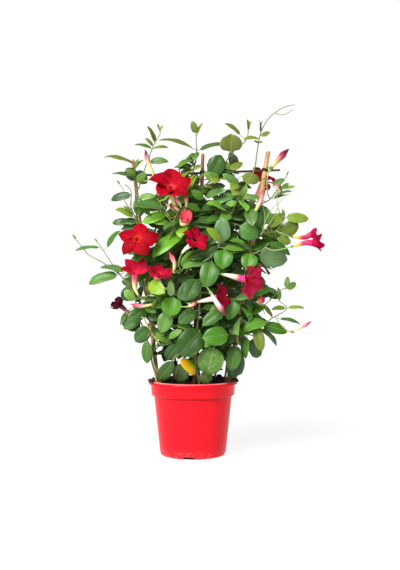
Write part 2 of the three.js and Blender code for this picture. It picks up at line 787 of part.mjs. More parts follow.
function tangentAt(centres, i) {
  const before = centres[Math.max(0, i - 1)];
  const after = centres[Math.min(centres.length - 1, i + 1)];
  return after.clone().sub(before).normalize();
}

function tubeRings(centres, radii, sides) {
  const rings = [];
  const first = tangentAt(centres, 0);
  let side = new THREE.Vector3(0.31, 0.87, 0.38).cross(first).normalize();
  centres.forEach((centre, i) => {
    const tangent = tangentAt(centres, i);
    side = side.addScaledVector(tangent, -side.dot(tangent)).normalize();
    const other = tangent.clone().cross(side);
    const ring = [];
    for (let j = 0; j < sides; j += 1) {
      const angle = (j / sides) * 2 * Math.PI;
      ring.push(centre.clone().addScaledVector(side, Math.cos(angle) * radii[i])
        .addScaledVector(other, Math.sin(angle) * radii[i]));
    }
    rings.push(ring);
  });
  return rings;
}

// The point at a distance along a stem.
function pointAlong(line, distance) {
  let i = 1;
  while (i < line.along.length - 1 && line.along[i] < distance) i += 1;
  const share = (distance - line.along[i - 1]) / (line.along[i] - line.along[i - 1]);
  return {
    point: line.centres[i - 1].clone().lerp(line.centres[i], share),
    tangent: line.centres[i].clone().sub(line.centres[i - 1]).normalize(),
    radius: mix(line.radii[i - 1], line.radii[i], share),
  };
}

// The place on a stem that is nearest to a point of the elevation.
function nearestAlong(line, across, up) {
  let best = { gap: Infinity, distance: 0 };
  for (let distance = 1; distance <= line.length - 2; distance += 1.5) {
    const [x, z] = elevationOf(pointAlong(line, distance).point);
    const gap = Math.hypot(x - across, z - up);
    if (gap < best.gap) best = { gap, distance };
  }
  return pointAlong(line, best.distance);
}

// A side stem starts clear of its parent and leaves it square on; a joined one starts in its middle.
// share: how much of the parent's radius counts, as its flat sides lie nearer than its corners.
function routeFrom(parent, entries, isJoined, share) {
  const points = entries.map(place);
  const origin = nearestAlong(parent, entries[0][0], entries[0][1]);
  if (isJoined) return [origin.point, ...points.slice(1)];
  const away = points[1].clone().sub(origin.point);
  away.addScaledVector(origin.tangent, -away.dot(origin.tangent)).normalize();
  const start = origin.point.clone().addScaledVector(away, origin.radius * share + SEAT + 0.2);
  return [start, start.clone().addScaledVector(away, LEAD), ...points.slice(1)];
}

function twinePoints({ cane, from, to, turns, start }, radius) {
  const points = [];
  const count = Math.round(turns * 6);
  for (let i = 0; i <= count; i += 1) {
    const axis = caneAxis(cane, mix(from, to, i / count));
    const angle = start + (turns * 2 * Math.PI * i) / count;
    const reach = axis.radius + radius + 1.6;
    points.push(axis.point.add(new THREE.Vector3(Math.cos(angle) * reach, Math.sin(angle) * reach, 0)));
  }
  return points;
}

function stemLine(stem, lines) {
  let points;
  if (stem.root) {
    const [x, y] = stem.root;
    const foot = new THREE.Vector3(x, y, SOIL_TOP - 30);
    points = [new THREE.Vector3(x, y, SOIL_TOP + 6)];
    if (stem.twine) points.push(...twinePoints(stem.twine, stem.radii[0]));
    points.push(...stem.route.map(place));
    return lineOf([foot, ...curveThrough(points, STEM_STEP)], stem.radii);
  }
  points = routeFrom(lines[stem.from], stem.route, stem.joined, 0.8);
  return lineOf(curveThrough(points, STEM_STEP), stem.radii);
}

// ---------------------------------------------------------------- leaves

// A blade bends evenly from base to tip in the plane of its direction and its face, folds up along
// the midrib, and its half width follows a profile. u runs from base to tip and v from edge to edge.
function bladeOf(base, tip, face, bend, fold, halfWidth, profile) {
  const direction = tip.clone().sub(base);
  const chord = direction.length();
  direction.divideScalar(chord);
  const normal = face.clone().addScaledVector(direction, -face.dot(direction)).normalize();
  const side = direction.clone().cross(normal);
  const length = (chord * (bend / 2)) / Math.sin(bend / 2);
  return { base, direction, normal, side, bend, fold, halfWidth, profile, length };
}

function bladePoint(blade, u, v) {
  const { base, direction, normal, side, bend, fold, halfWidth, profile, length } = blade;
  const angle = bend / 2 - bend * u;
  const forward = (length / bend) * (Math.sin(bend / 2) - Math.sin(angle));
  const rise = (length / bend) * (Math.cos(angle) - Math.cos(bend / 2));
  const half = halfWidth * profile(u);
  const lift = Math.abs(v) * half * Math.sin(fold);
  return base.clone()
    .addScaledVector(direction, forward - lift * Math.sin(angle))
    .addScaledVector(normal, rise + lift * Math.cos(angle))
    .addScaledVector(side, v * half * Math.cos(fold));
}

function bladeRing(blade, u, thickness) {
  const angle = blade.bend / 2 - blade.bend * u;
  const up = blade.normal.clone().multiplyScalar(Math.cos(angle))
    .addScaledVector(blade.direction, -Math.sin(angle));
  const middle = bladePoint(blade, u, 0);
  return [
    bladePoint(blade, u, -1), middle.clone().addScaledVector(up, thickness / 2),
    bladePoint(blade, u, 1), middle.clone().addScaledVector(up, -thickness / 2),
  ];
}

const leafProfile = (u) => Math.sin(Math.PI * Math.min(1, u) ** 0.8) ** 0.8;
// A leaf from the table: how its blade faces follows from the width that the elevation shows.
function drawnLeaf(line, row, setback) {
  const [baseAcross, baseUp, tipAcross, tipUp, seenWidth, layer = 0] = row;
  const attach = nearestAlong(line, baseAcross, baseUp);
  const tipDepth = frontDepth(tipAcross, tipUp) + layer + setback;
  const baseDepth = mix(attach.point.y, tipDepth, 0.45);
  const base = place([baseAcross, baseUp, baseDepth]);
  const tip = place([tipAcross, tipUp, tipDepth]);
  const direction = tip.clone().sub(base).normalize();
  const trueWidth = Math.max(seenWidth, 0.46 * base.distanceTo(tip));
  const toEye = EYE.clone().sub(base);
  toEye.addScaledVector(direction, -toEye.dot(direction)).normalize();
  const across = direction.clone().cross(toEye);
  const roll = Math.acos(Math.min(1, seenWidth / trueWidth)) * (across.z < 0 ? -1 : 1);
  const face = toEye.multiplyScalar(Math.cos(roll)).addScaledVector(across, Math.sin(roll));
  const petiole = base.distanceTo(attach.point);
  return { attach, petiole, blade: bladeOf(base, tip, face, 0.62, 0.2, trueWidth / 2, leafProfile) };
}

// A leaf placed by rule at a node: it leans out of the bush, and its face looks up and out.
function ruledLeaf(line, distance, hand, random) {
  const attach = pointAlong(line, distance);
  const outward = Math.atan2(attach.point.y - 8, attach.point.x - BUSH.across);
  const azimuth = outward + hand * (0.1 + 2.4 * random());
  const climb = -0.75 + 1.15 * random();
  const size = (46 + 20 * random()) * (distance > line.length - 30 ? 0.75 : 1);
  const direction = new THREE.Vector3(Math.cos(azimuth), Math.sin(azimuth), Math.tan(climb)).normalize();
  const base = attach.point.clone().addScaledVector(direction, 9);
  const tip = attach.point.clone().addScaledVector(direction, 9 + size);
  const face = new THREE.Vector3(Math.cos(outward) * 0.6, Math.sin(outward) * 0.6, 0.8);
  return { attach, petiole: 0, blade: bladeOf(base, tip, face, 0.62, 0.2, size * 0.31, leafProfile) };
}

function leafSolid({ attach, petiole, blade }) {
  const reach = Math.min(PETIOLE_RADIUS, attach.radius * 0.6, blade.length * 0.06);
  const thickness = Math.min(BLADE_THICKNESS, blade.length * 0.06);
  const away = bladePoint(blade, 0.2, 0).sub(attach.point).normalize();
  const side = blade.side.clone().addScaledVector(away, -blade.side.dot(away)).normalize();
  const normal = side.clone().cross(away);
  const root = [[side, -1], [normal, 1], [side, 1], [normal, -1]]
    .map(([axis, sign]) => attach.point.clone().addScaledVector(axis, sign * reach));
  const rings = [root];
  if (blade.length < TINY_LEAF) {
    rings.push(bladeRing(blade, 0.45, thickness));
  } else {
    const neck = { ...blade, halfWidth: reach * 1.3, profile: () => 1, fold: 0 };
    if (petiole > LONG_PETIOLE) rings.push(bladeRing(neck, 0.02, thickness));
    const stations = blade.length > BIG_LEAF ? [0.2, 0.48, 0.78] : [0.3, 0.7];
    rings.push(...stations.map((u) => bladeRing(blade, u, thickness)));
  }
  return loft([...rings, [bladePoint(blade, 1, 0)]]);
}

// ---------------------------------------------------------------- clearance between neighbours

// Every placed piece is a cloud of balls; pieces of different nodes keep their balls apart.
const balls = [];
const BLADE_BALL = 3.3;
const STEM_MARGIN = 1.5;

function addLineBalls(node, line, step) {
  for (let distance = 0; distance <= line.length; distance += step) {
    const { point, radius } = pointAlong(line, distance);
    balls.push({ point, radius: radius + STEM_MARGIN, node });
  }
}

function bladeBalls(blade, node, thickness = BLADE_BALL) {
  const alongCount = Math.max(2, Math.ceil(blade.length / 6));
  const acrossCount = Math.max(1, Math.ceil((blade.halfWidth * 2) / 6.5));
  const cloud = [];
  for (let i = 1; i <= alongCount; i += 1) {
    for (let j = 0; j <= acrossCount; j += 1) {
      const u = 0.12 + (0.88 * i) / alongCount;
      cloud.push({ point: bladePoint(blade, u, -1 + (2 * j) / acrossCount), radius: thickness, node });
    }
  }
  return cloud;
}

function leafBalls({ attach, blade }, node) {
  const cloud = bladeBalls(blade, node, Math.min(BLADE_BALL, blade.length * 0.12));
  const count = Math.ceil(attach.point.distanceTo(blade.base) / 3);
  for (let i = 1; i <= count; i += 1) {
    cloud.push({ point: attach.point.clone().lerp(blade.base, i / count), radius: 1.6, node });
  }
  return cloud;
}

function touches(cloud) {
  let count = 0;
  for (const ball of cloud) {
    const { x, y, z } = ball.point;
    const fromAxis = Math.hypot(x, y);
    if (fromAxis < 79 ? z < SOIL_TOP + 5 : fromAxis < 90 && z < POT.height + 4) count += 1;
    for (const other of balls) {
      const reach = (ball.radius + other.radius) * (other.node === ball.node ? 0.55 : 1);
      if (other.node === ball.node && other.radius !== BLADE_BALL) continue;
      const dx = x - other.point.x;
      if (dx > reach || dx < -reach) continue;
      const dy = y - other.point.y;
      const dz = z - other.point.z;
      if (dx * dx + dy * dy + dz * dz < reach * reach) count += 1;
    }
  }
  return count;
}

// ---------------------------------------------------------------- blooms and buds

const THROAT = 8; // radius of the largest bloom's throat
const TUBE = [[0, THROAT], [14, 6.6], [32, 4.6], [50, 2.2], [56, 1.2]]; // [distance back from it, radius]
const PEDICEL_RADIUS = 1.1;
const PETALS = 5;
const PETAL_STEP = (2 * Math.PI) / PETALS;
// A petal's edge from its notch on: [share of the petal's angle from its middle, share of the reach].
const PETAL_EDGE = [[-0.5, 0.46], [-0.46, 0.78], [-0.2, 0.97], [0.12, 1], [0.44, 0.8]];

// The sections [distance back from the line's end, radius] as centres and radii.
function sectionsOf(line, sections) {
  const centres = sections.map(([s]) => pointAlong(line, Math.max(0, line.length - s)).point);
  return { centres, radii: sections.map(([, radius]) => radius) };
}

function tubeTo(parent, route, tube, end) {
  const points = routeFrom(parent, route, false, 1);
  if (end) points.splice(-1, 1, points.at(-1).clone().addScaledVector(end, -12), points.at(-1));
  const line = lineOf(curveThrough(points, 5), [1, 1]);
  const last = Math.min(line.length, tube.at(-1)[0]);
  const pedicel = [[line.length, PEDICEL_RADIUS]];
  for (let s = line.length - 18; s > last + 6; s -= 18) pedicel.push([s, PEDICEL_RADIUS]);
  return sectionsOf(line, [...pedicel, ...tube.filter(([s]) => s < line.length - 7).reverse()]);
}

function bloomParts(bloom, parent) {
  const facing = new THREE.Vector3(...bloom.facing).normalize();
  const size = Math.min(1, 0.45 + bloom.reach / 75);
  const tube = TUBE.map(([s, radius]) => [s * size, radius * size]);
  const { centres, radii } = tubeTo(parent, bloom.route, tube, facing);
  const first = facing.clone().cross(new THREE.Vector3(0, 0, 1)).normalize();
  const second = facing.clone().cross(first);
  return { ...bloom, centres, radii, facing, first, second, size, throat: centres.at(-1) };
}

// A point of the corolla, which spreads from the throat like a shallow dish with its rim curled back.
function corollaPoint(parts, angle, radius) {
  const { throat, facing, first, second, lift, reach } = parts;
  const outer = Math.max(0, radius - THROAT * parts.size);
  const share = outer / reach;
  const flat = Math.cos(lift) * outer + Math.min(radius, THROAT * parts.size);
  const rise = Math.sin(lift) * outer + reach * (0.18 * share - 0.3 * share * share);
  return throat.clone()
    .addScaledVector(first, Math.cos(angle) * flat)
    .addScaledVector(second, Math.sin(angle) * flat)
    .addScaledVector(facing, rise);
}

// The tube, the throat and five broad pointed petals that are one piece up to the notches.
function bloomSolid(parts) {
  const { centres, radii, facing, size, turn, reach, throat } = parts;
  const middles = centres.map((centre, i) => ({ centre, radius: radii[i], tangent: tangentAt(centres, i) }));
  middles.at(-1).tangent = facing;
  let side = parts.first;
  const notchAngle = turn - PETAL_STEP / 2;
  const points = [];
  const triangles = [];
  for (const { centre, radius, tangent } of middles.toReversed()) {
    side = side.clone().addScaledVector(tangent, -side.dot(tangent)).normalize();
    const other = tangent.clone().cross(side);
    for (let i = 0; i < PETALS; i += 1) {
      const angle = notchAngle + i * PETAL_STEP;
      points.push(centre.clone().addScaledVector(side, Math.cos(angle) * radius)
        .addScaledVector(other, Math.sin(angle) * radius));
    }
  }
  const rings = middles.length;
  const next = (i) => (i + 1) % PETALS;
  for (let r = 0; r + 1 < rings; r += 1) {
    for (let i = 0; i < PETALS; i += 1) {
      const [a, b, c, d] = [i, next(i), next(i) + PETALS, i + PETALS].map((k) => k + r * PETALS);
      triangles.push([a, b, c], [a, c, d]);
    }
  }
  const foot = (rings - 1) * PETALS;
  for (let i = 1; i + 1 < PETALS; i += 1) triangles.push([foot, foot + i, foot + i + 1]);

  const inner = points.length;
  for (let i = 0; i < PETALS; i += 1) {
    points.push(points[i].clone().sub(throat).multiplyScalar(0.8).add(throat).addScaledVector(facing, 0.5));
  }
  const depth = points.length;
  points.push(throat.clone().addScaledVector(facing, -11 * size));
  for (let i = 0; i < PETALS; i += 1) triangles.push([inner + next(i), inner + i, depth]);

  const edge = points.length;
  const perPetal = PETAL_EDGE.length;
  for (let i = 0; i < PETALS; i += 1) {
    for (const [turnShare, reachShare] of PETAL_EDGE) {
      points.push(corollaPoint(parts, turn + (i + turnShare) * PETAL_STEP, reach * reachShare));
    }
  }
  for (let i = 0; i < PETALS; i += 1) {
    const middle = corollaPoint(parts, turn + i * PETAL_STEP, reach * 0.56);
    const rim = [];
    for (let k = 0; k <= perPetal; k += 1) rim.push(edge + ((i * perPetal + k) % (PETALS * perPetal)));
    for (const [sign, ring] of [[1, inner], [-1, 0]]) {
      const centre = points.length;
      points.push(middle.clone().addScaledVector(facing, sign * 0.8));
      const loop = [ring + next(i), ring + i, ...rim];
      loop.forEach((from, k) => {
        const to = loop[(k + 1) % loop.length];
        triangles.push(sign < 0 ? [centre, from, to] : [centre, to, from]);
      });
    }
  }
  return closedSolid(points, triangles);
}

function bloomBalls(parts, node) {
  const cloud = parts.centres.map((point, i) => ({ point, radius: parts.radii[i] + 2, node }));
  for (let radius = 10; radius < parts.reach; radius += 6) {
    const count = Math.ceil((2 * Math.PI * radius) / 6.5);
    for (let i = 0; i < count; i += 1) {
      const point = corollaPoint(parts, (i * 2 * Math.PI) / count, radius);
      cloud.push({ point, radius: BLADE_BALL, node });
    }
  }
  return cloud;
}

// A bud swells above its calyx and ends in a point.
function budLine(spike, parent, root) {
  const shape = [[0, 0.1], [0.28, 1], [0.6, 0.75], [0.92, 0.45], [1, 0.6], [1.08, 0.4]];
  const tube = shape.map(([share, radius]) => [share * spike.length, radius * spike.girth]);
  if (!root) return tubeTo(parent, spike.route, tube, null);
  const points = [root, ...spike.route.slice(1).map(place)];
  const line = lineOf(curveThrough(points, 5), [1, 1]);
  return sectionsOf(line, [[line.length, 0.6], ...tube.filter(([s]) => s < line.length - 2).reverse()]);
}

// ---------------------------------------------------------------- assembly

addPiece('pot', potSolid(), PLASTIC);

const lines = {};
for (const [name, stem] of Object.entries(STEMS)) lines[name] = stemLine(stem, lines);

let soil = soilSolid();
for (const [name, stem] of Object.entries(STEMS)) {
  if (!stem.root) continue;
  const [x, y] = stem.root;
  const bottom = new THREE.Vector3(x, y, SOIL_TOP - 30 - SEAT);
  soil = soil.subtract(holeSolid(bottom, new THREE.Vector3(x, y, SOIL_TOP + 8), lines[name].radii[0]));
}
for (const name of Object.keys(CANES)) {
  const bottom = caneAxis(name, CANE_FOOT - 1.5).point;
  const above = caneAxis(name, SOIL_TOP + 20).point;
  soil = soil.subtract(holeSolid(bottom, above, caneAxis(name, CANE_FOOT).radius));
  addPiece(name, caneSolid(name), BAMBOO);
}
addPiece('soil', soil, SOIL);
for (const name of Object.keys(BARS)) addPiece(name, barSolid(name), BAR);

for (const [name, { top }] of Object.entries(CANES)) {
  for (let height = SOIL_TOP; height <= top[1]; height += 5) {
    const { point, radius } = caneAxis(name, height);
    balls.push({ point, radius: radius + 2.5, node: name });
  }
}
for (const [name, { from, to, radius }] of Object.entries(BARS)) {
  for (let x = from[0]; x <= to[0]; x += 4) {
    const up = mix(from[1], to[1], (x - from[0]) / (to[0] - from[0]));
    balls.push({ point: new THREE.Vector3(x, 0, up), radius: radius + 2, node: name });
  }
}
const nodeOf = (name) => (STEMS[name].joined ? nodeOf(STEMS[name].from) : name);
for (const name of Object.keys(STEMS)) addLineBalls(nodeOf(name), lines[name], 3);

for (const [name, bloom] of Object.entries(BLOOMS)) {
  const parts = bloomParts(bloom, lines[bloom.from]);
  addPiece(name, bloomSolid(parts), name === 'bloom_withered' ? WITHERED : PETAL);
  balls.push(...bloomBalls(parts, name));
}
for (const [name, { from, spikes }] of Object.entries(BUDS)) {
  const main = budLine(spikes[0], lines[from], null);
  const fork = nearestAlong(lineOf(main.centres, [1, 1]), ...spikes[0].route[1]).point;
  const all = [main, ...spikes.slice(1).map((spike) => budLine(spike, null, fork))];
  addPiece(name, joined(all.map(({ centres, radii }) => loft(tubeRings(centres, radii, 4)))), BUD);
  for (const { centres, radii } of all) {
    centres.forEach((point, i) => balls.push({ point, radius: radii[i] + 2, node: name }));
  }
}

// Drawn leaves first: each slides along its line of sight until it is clear of its neighbours.
const SLIDES = [0, -7, 7, -14, 14, -21, 21, 28, -28, 36];
const leaves = [];
for (const [name, stem] of Object.entries(STEMS)) {
  const node = nodeOf(name);
  for (const row of stem.leaves) {
    let best = null;
    for (const slide of SLIDES) {
      const leaf = drawnLeaf(lines[name], row, slide);
      const cloud = leafBalls(leaf, node);
      const count = touches(cloud);
      if (!best || count < best.count) best = { leaf, cloud, count };
      if (count === 0) break;
    }
    balls.push(...best.cloud);
    leaves.push({ node, leaf: best.leaf });
  }
}

// Then pairs of leaves by rule, wherever they fit inside the bush and behind its front.
function inBush(point) {
  const x = (point.x - BUSH.across) / BUSH.halfWidth;
  const y = point.y / BUSH.halfDepth;
  const z = (point.z - BUSH.up) / BUSH.halfHeight;
  return x * x + y * y + z * z < 1 && point.y > BUSH.front;
}

Object.entries(STEMS).forEach(([name, stem], index) => {
  const node = nodeOf(name);
  const random = randomStream(index + 1);
  const line = lines[name];
  const first = stem.root ? 70 : 22;
  for (let pair = 0; pair < (stem.fill ?? 0); pair += 1) {
    const distance = Math.min(line.length - 2, first + (pair * (line.length - first)) / (stem.fill - 1));
    for (const hand of [-1, 1]) {
      for (let attempt = 0; attempt < 30; attempt += 1) {
        const leaf = ruledLeaf(line, distance, hand, random);
        const cloud = leafBalls(leaf, node);
        if (!inBush(bladePoint(leaf.blade, 1, 0)) || touches(cloud)) continue;
        balls.push(...cloud);
        leaves.push({ node, leaf });
        break;
      }
    }
  }
});

for (const name of Object.keys(STEMS)) {
  if (STEMS[name].joined) continue;
  const own = Object.keys(STEMS).filter((other) => nodeOf(other) === name);
  const pieces = own.map((other) => loft(tubeRings(lines[other].centres, lines[other].radii, STEM_SIDES)));
  for (const { node, leaf } of leaves) if (node === name) pieces.push(leafSolid(leaf));
  addPiece(name, joined(pieces), FOLIAGE);
}

export default part;
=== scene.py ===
"""A red-flowered mandevilla in its nursery pot, climbing a fan of three bamboo canes.

The stems, leaves, blooms and buds are set out by the same rules and tables as in the CAD source, so
each fine piece lies where its CAD node does. Lengths are millimetres until a mesh is made.
"""
import json
import math
from random import Random
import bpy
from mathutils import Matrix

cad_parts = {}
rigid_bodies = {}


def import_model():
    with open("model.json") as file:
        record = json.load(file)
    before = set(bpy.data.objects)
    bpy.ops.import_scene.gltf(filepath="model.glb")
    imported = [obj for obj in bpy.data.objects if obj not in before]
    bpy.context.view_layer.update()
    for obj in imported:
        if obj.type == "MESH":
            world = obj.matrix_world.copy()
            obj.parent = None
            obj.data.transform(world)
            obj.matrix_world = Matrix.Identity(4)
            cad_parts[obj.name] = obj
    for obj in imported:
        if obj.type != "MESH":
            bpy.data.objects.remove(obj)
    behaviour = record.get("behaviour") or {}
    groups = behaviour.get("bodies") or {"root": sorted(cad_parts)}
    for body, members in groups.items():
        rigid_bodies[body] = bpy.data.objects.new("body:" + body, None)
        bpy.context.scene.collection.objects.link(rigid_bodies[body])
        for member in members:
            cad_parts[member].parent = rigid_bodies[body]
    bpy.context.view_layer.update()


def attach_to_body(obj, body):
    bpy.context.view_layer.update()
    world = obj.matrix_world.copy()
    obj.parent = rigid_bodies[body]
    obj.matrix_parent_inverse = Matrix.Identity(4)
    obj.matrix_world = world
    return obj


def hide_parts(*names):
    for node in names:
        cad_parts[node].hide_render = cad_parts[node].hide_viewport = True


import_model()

from types import SimpleNamespace

import bmesh
import bpy
import numpy as np
from mathutils import Vector, noise

for name in ("Cube", "Light", "Camera"):
    if name in bpy.data.objects:
        bpy.data.objects.remove(bpy.data.objects[name])

# ---- dimensions

MM = 0.001
SEAT = 0.4
EYE = np.array((13.4, -1650.0, 323.5))
FULL_TURN = 2 * math.pi

POT_HEIGHT, LIP_RADIUS, LIP_DEPTH = 142, 85, 8
COLLAR_RADIUS, COLLAR_DEPTH = 79.5, 29
WALL_TOP_RADIUS, BASE_RADIUS, WALL = 74.5, 63, 1.8
NOTCH_WIDTH, NOTCH_HEIGHT, NOTCH_COUNT, NOTCH_OFFSET, SEAM = 23, 5, 4, -6, (-0.0015, 0.0015)
STEP, COLLAR_TOP = POT_HEIGHT - COLLAR_DEPTH, POT_HEIGHT - LIP_DEPTH
SOIL_TOP = 133

# Each cane by its foot and top (across, up) and its radius there, and each crossbar by its ends.
CANES = {
    "cane_left": ((-69, 150), (-115, 564), (4.5, 3.3)),
    "cane_middle": ((4, 150), (19, 575), (3.9, 3.3)),
    "cane_right": ((70, 150), (144, 579), (5.0, 4.7)),
}
CANE_FOOT, CANE_JOINTS = 50, 3
BARS = {"crossbar_top": ((-127, 533), (167, 544)), "crossbar_low": ((-90, 192), (98, 190))}
BAR_RADIUS = 2.3

# The round bush that the leaves fill, and the shallower one whose front carries the leaves of the tables.
BUSH_MIDDLE, BUSH_HALF, BUSH_FRONT = np.array((20, 0, 365)), np.array((138, 120, 208)), -46
FRONT_MIDDLE, FRONT_HALF, FRONT_DEPTH, FRONT_LEAST = (20, 330), (150, 235), 98, 0.36

STEM_STEP, LEAD = 23, 4
BEND, FOLD = 0.62, 0.2
PETIOLE_RADIUS, PEDICEL_RADIUS, PEDICEL_STEP = 0.95, 1.1, 18
# A leaf that a rule sets out: its stalk, its least and its further length, and its half width as a share.
LEAF_STALK, LEAF_LENGTH, LEAF_SPREAD, LEAF_HALF = 9, 46, 20, 0.31
# A leaf that is drawn: its least width as a share of its length, and how far out its base lies.
LEAST_WIDTH, BASE_DEPTH = 0.46, 0.45

# Balls stand for what is there, so that neighbours keep clear of each other.
BLADE_BALL, STALK_BALL, STEM_MARGIN, BLOOM_MARGIN = 3.3, 1.6, 1.5, 2
ALONG_STEP, ACROSS_STEP, STALK_STEP, REACH = 6, 6.5, 3, 16
WITHIN_POT, WITHIN_LIP, OVER_SOIL, OVER_LIP = 79, 90, 5, 4
# Leaves on one stem may lie this much closer to each other.
CLOSER = 0.55

THROAT, PETALS = 8, 5
# Distance back from the throat and radius there, and the same for a bud, as shares of its length and girth.
TUBE = ((0, THROAT), (14, 6.6), (32, 4.6), (50, 2.2), (56, 1.2))
BUD_SHAPE = ((0, 0.1), (0.28, 1), (0.6, 0.75), (0.92, 0.45), (1, 0.6), (1.08, 0.4))
# How far a petal's point lies off its middle, and the columns and the first direction of a tube.
LEAN, RING, FIRST_SIDE = 0.32, 20, (0.31, 0.87, 0.38)

# ---- helpers


def unit(vector):
    return vector / np.linalg.norm(vector)


def mix(a, b, share):
    return a + (b - a) * share


def clamp(share):
    return np.clip(share, 0, 1)


def smooth(share):
    share = clamp(share)
    return share * share * (3 - 2 * share)


def around(count):
    return np.arange(count) * FULL_TURN / count


def circle(angle, first, second):
    """Directions at these angles in the plane of two others."""
    return np.cos(angle)[..., None] * first + np.sin(angle)[..., None] * second


def srgb(code):
    shares = np.array([int(code[i : i + 2], 16) / 255 for i in (0, 2, 4)])
    return np.where(shares <= 0.04045, shares / 12.92, ((shares + 0.055) / 1.055) ** 2.4)


def rows(text):
    """A table's rows, parted by commas: numbers, and a letter for the tone where one leads."""
    table = (row.split() for row in text.split(",") if row.strip())
    return [[word if word.isalpha() else float(word) for word in row] for row in table]


# ---- colours

# Tone s is a pale grey-green that stands in for a leaf's sheen: painted sheen.
TONES = {
    "d": "325c20", "g": "486e38", "m": "50822c", "b": "3a6c18", "l": "608626", "o": "68802a", "r": "627a28",
    "s": "5a7c54", "t": "426c20", "u": "2c3e1e", "k": "ecb410", "h": "284c24", "y": "708e34", "e": "54681e",
}
TONES = {letter: srgb(code) for letter, code in TONES.items()}
STEM_GREEN = srgb("98ac5e")

# ---- stems
#
# A route's rows are across, up and depth in the front elevation. A leaf's row is its tone, its base, its
# tip, how wide it is seen and how far it is set back.

STEMS, BLOOMS, BUDS = {}, {}, {}


def stem(name, parent, radii, route, leaves="", joined=False, fill=0, twine=None):
    """A stem that grows from another one or from its foot in the soil."""
    STEMS[name] = SimpleNamespace(
        parent=parent, rooted=not isinstance(parent, str), radii=radii, route=rows(route), leaves=rows(leaves),
        joined=joined, fill=fill, twine=twine,
    )


stem("left_vine", (-60, -28), (2.3, 1.3), "-97 330 -24, -103 400 -26, -109 470 -24, -111 520 -22, -112 552 -22",
     "o -113 556 -173 571 7, m -109 533 -129 546 14, m -108 523 -90 539 14, g -109 529 -157 537 6, "
     "o -110 550 -104 566 6, o -110 548 -95 564 5, g -104 491 -71 494 12, d -100 489 -108 458 13 6",
     fill=6, twine=("cane_left", 206, 292, 1, -1.9))
stem("left_front_shoot", "left_vine", (1.4, 0.9), "-74 236 -16, -76 238 -38, -82 234 -52, -87 224 -58",
     "d -83 237 -111 214 24, m -88 216 -88 172 20", joined=True)
stem("top_left_shoot", "left_vine", (1.4, 0.7), "-109 505 -24, -98 530 -34, -90 554 -36, -83 573 -36, "
     "-77 588 -36, -73 597 -36, -63 615 -36, -65 628 -36",
     "g -83 560 -46 561 13, o -77 590 -92 606 7, g -79 585 -113 593 6, o -77 585 -46 587 6, "
     "o -73 597 -88 629 8, l -65 621 -69 634 4, l -64 617 -57 631 4")
stem("left_side_shoot", "left_vine", (1.5, 0.8), "-103 412 -26, -104 430 -44, -112 456 -52, -119 471 -54, "
     "-120 506 -52, -131 517 -50",
     "h -119 496 -159 487 16, o -115 454 -150 471 12, o -119 464 -134 475 6, m -96 444 -52 458 18, "
     "m -83 448 -44 441 15 12, d -104 444 -144 444 12, h -95 437 -140 431 14 10, b -106 474 -81 456 10")
stem("left_thin_shoot", "left_side_shoot", (1, 0.6), "-116 462 -53, -125 475 -62, -132 487 -64, -134 506 -64, "
     "-141 517 -62",
     "l -141 517 -147 525 3 -20", joined=True)
stem("left_runner", (-64, -16), (1.9, 0.7), "-77 168 -28, -83 200 -30, -93 235 -38, -104 262 -38, -115 310 -38, "
     "-127 327 -38, -140 343 -38, -154 362 -38, -165 379 -38, -184 406 -38",
     "g -180 395 -228 389 7, d -165 396 -140 429 10, g -132 350 -179 358 12, g -146 343 -202 326 20, "
     "g -132 339 -94 352 9, m -113 295 -132 314 18, d -101 272 -129 260 20, g -102 260 -134 239 20 8, "
     "g -122 276 -140 245 8, l -184 406 -190 413 3")
stem("far_left_runner", "left_runner", (1.2, 0.7), "-140 343 -38, -155 354 -44, -169 364 -44, -202 383 -42, "
     "-210 393 -40, -225 411 -38",
     "l -225 411 -232 421 4", joined=True)
stem("left_low_shoot", "left_vine", (1.5, 0.9), "-92 300 -24, -88 302 -42, -80 306 -56, -70 302 -64, "
     "-60 298 -66",
     "l -84 327 -54 308 27, g -67 293 -121 295 8")
stem("middle_vine", (14, -22), (2.3, 0.9), "6 200 -26, 2 300 -28, 0 400 -26, -6 458 -24, -2 525 -20, 4 558 -18, "
     "7 573 -18, 6 600 -20, 6 613 -20",
     "o 0 585 -67 602 7, g 13 583 60 594 9, o 6 615 -2 639 14, o 8 612 19 635 5, g -6 544 -38 550 6, "
     "o -6 546 -25 556 5, o -2 545 19 552 8, m 14 468 -16 477 14, m 19 489 -4 506 16, g 25 492 63 506 14", fill=8)
stem("centre_low_left_shoot", "middle_vine", (1.5, 0.9), "4 245 -27, -12 238 -44, -30 240 -58, -44 252 -66, "
     "-49 266 -66",
     "m -48 268 -63 231 18 14, m -46 222 -21 237 13 10", joined=True)
stem("upper_left_shoot", "middle_vine", (1.5, 0.9), "-4 440 -25, -12 446 -40, -22 452 -54, -30 462 -60, "
     "-34 474 -58",
     "b -16 425 -79 377 26, m -14 408 -54 404 14")
stem("upper_right_shoot", "middle_vine", (1.6, 0.8), "-3 496 -22, 14 508 -32, 38 528 -36, 58 552 -34, "
     "73 575 -34, 83 586 -34, 98 597 -34, 105 610 -34, 106 622 -34",
     "e 73 579 73 614 44, o 90 612 60 635 8, o 98 604 127 604 7, l 106 621 104 642 6, l 106 620 112 638 4, "
     "d 36 531 54 575 32, m 50 525 22 537 20 10, m 72 548 50 562 14, o 71 546 96 558 14")
stem("centre_left_shoot", "middle_vine", (1.6, 1), "2 308 -28, -10 304 -46, -24 304 -62, -38 306 -72, "
     "-48 310 -74",
     "s -42 302 -44 333 14, b -38 300 -46 262 38")
stem("centre_shoot", "middle_vine", (1.6, 0.9), "0 372 -27, -8 370 -46, -14 362 -62, -22 350 -70, -30 346 -72",
     "m 6 385 -23 360 24")
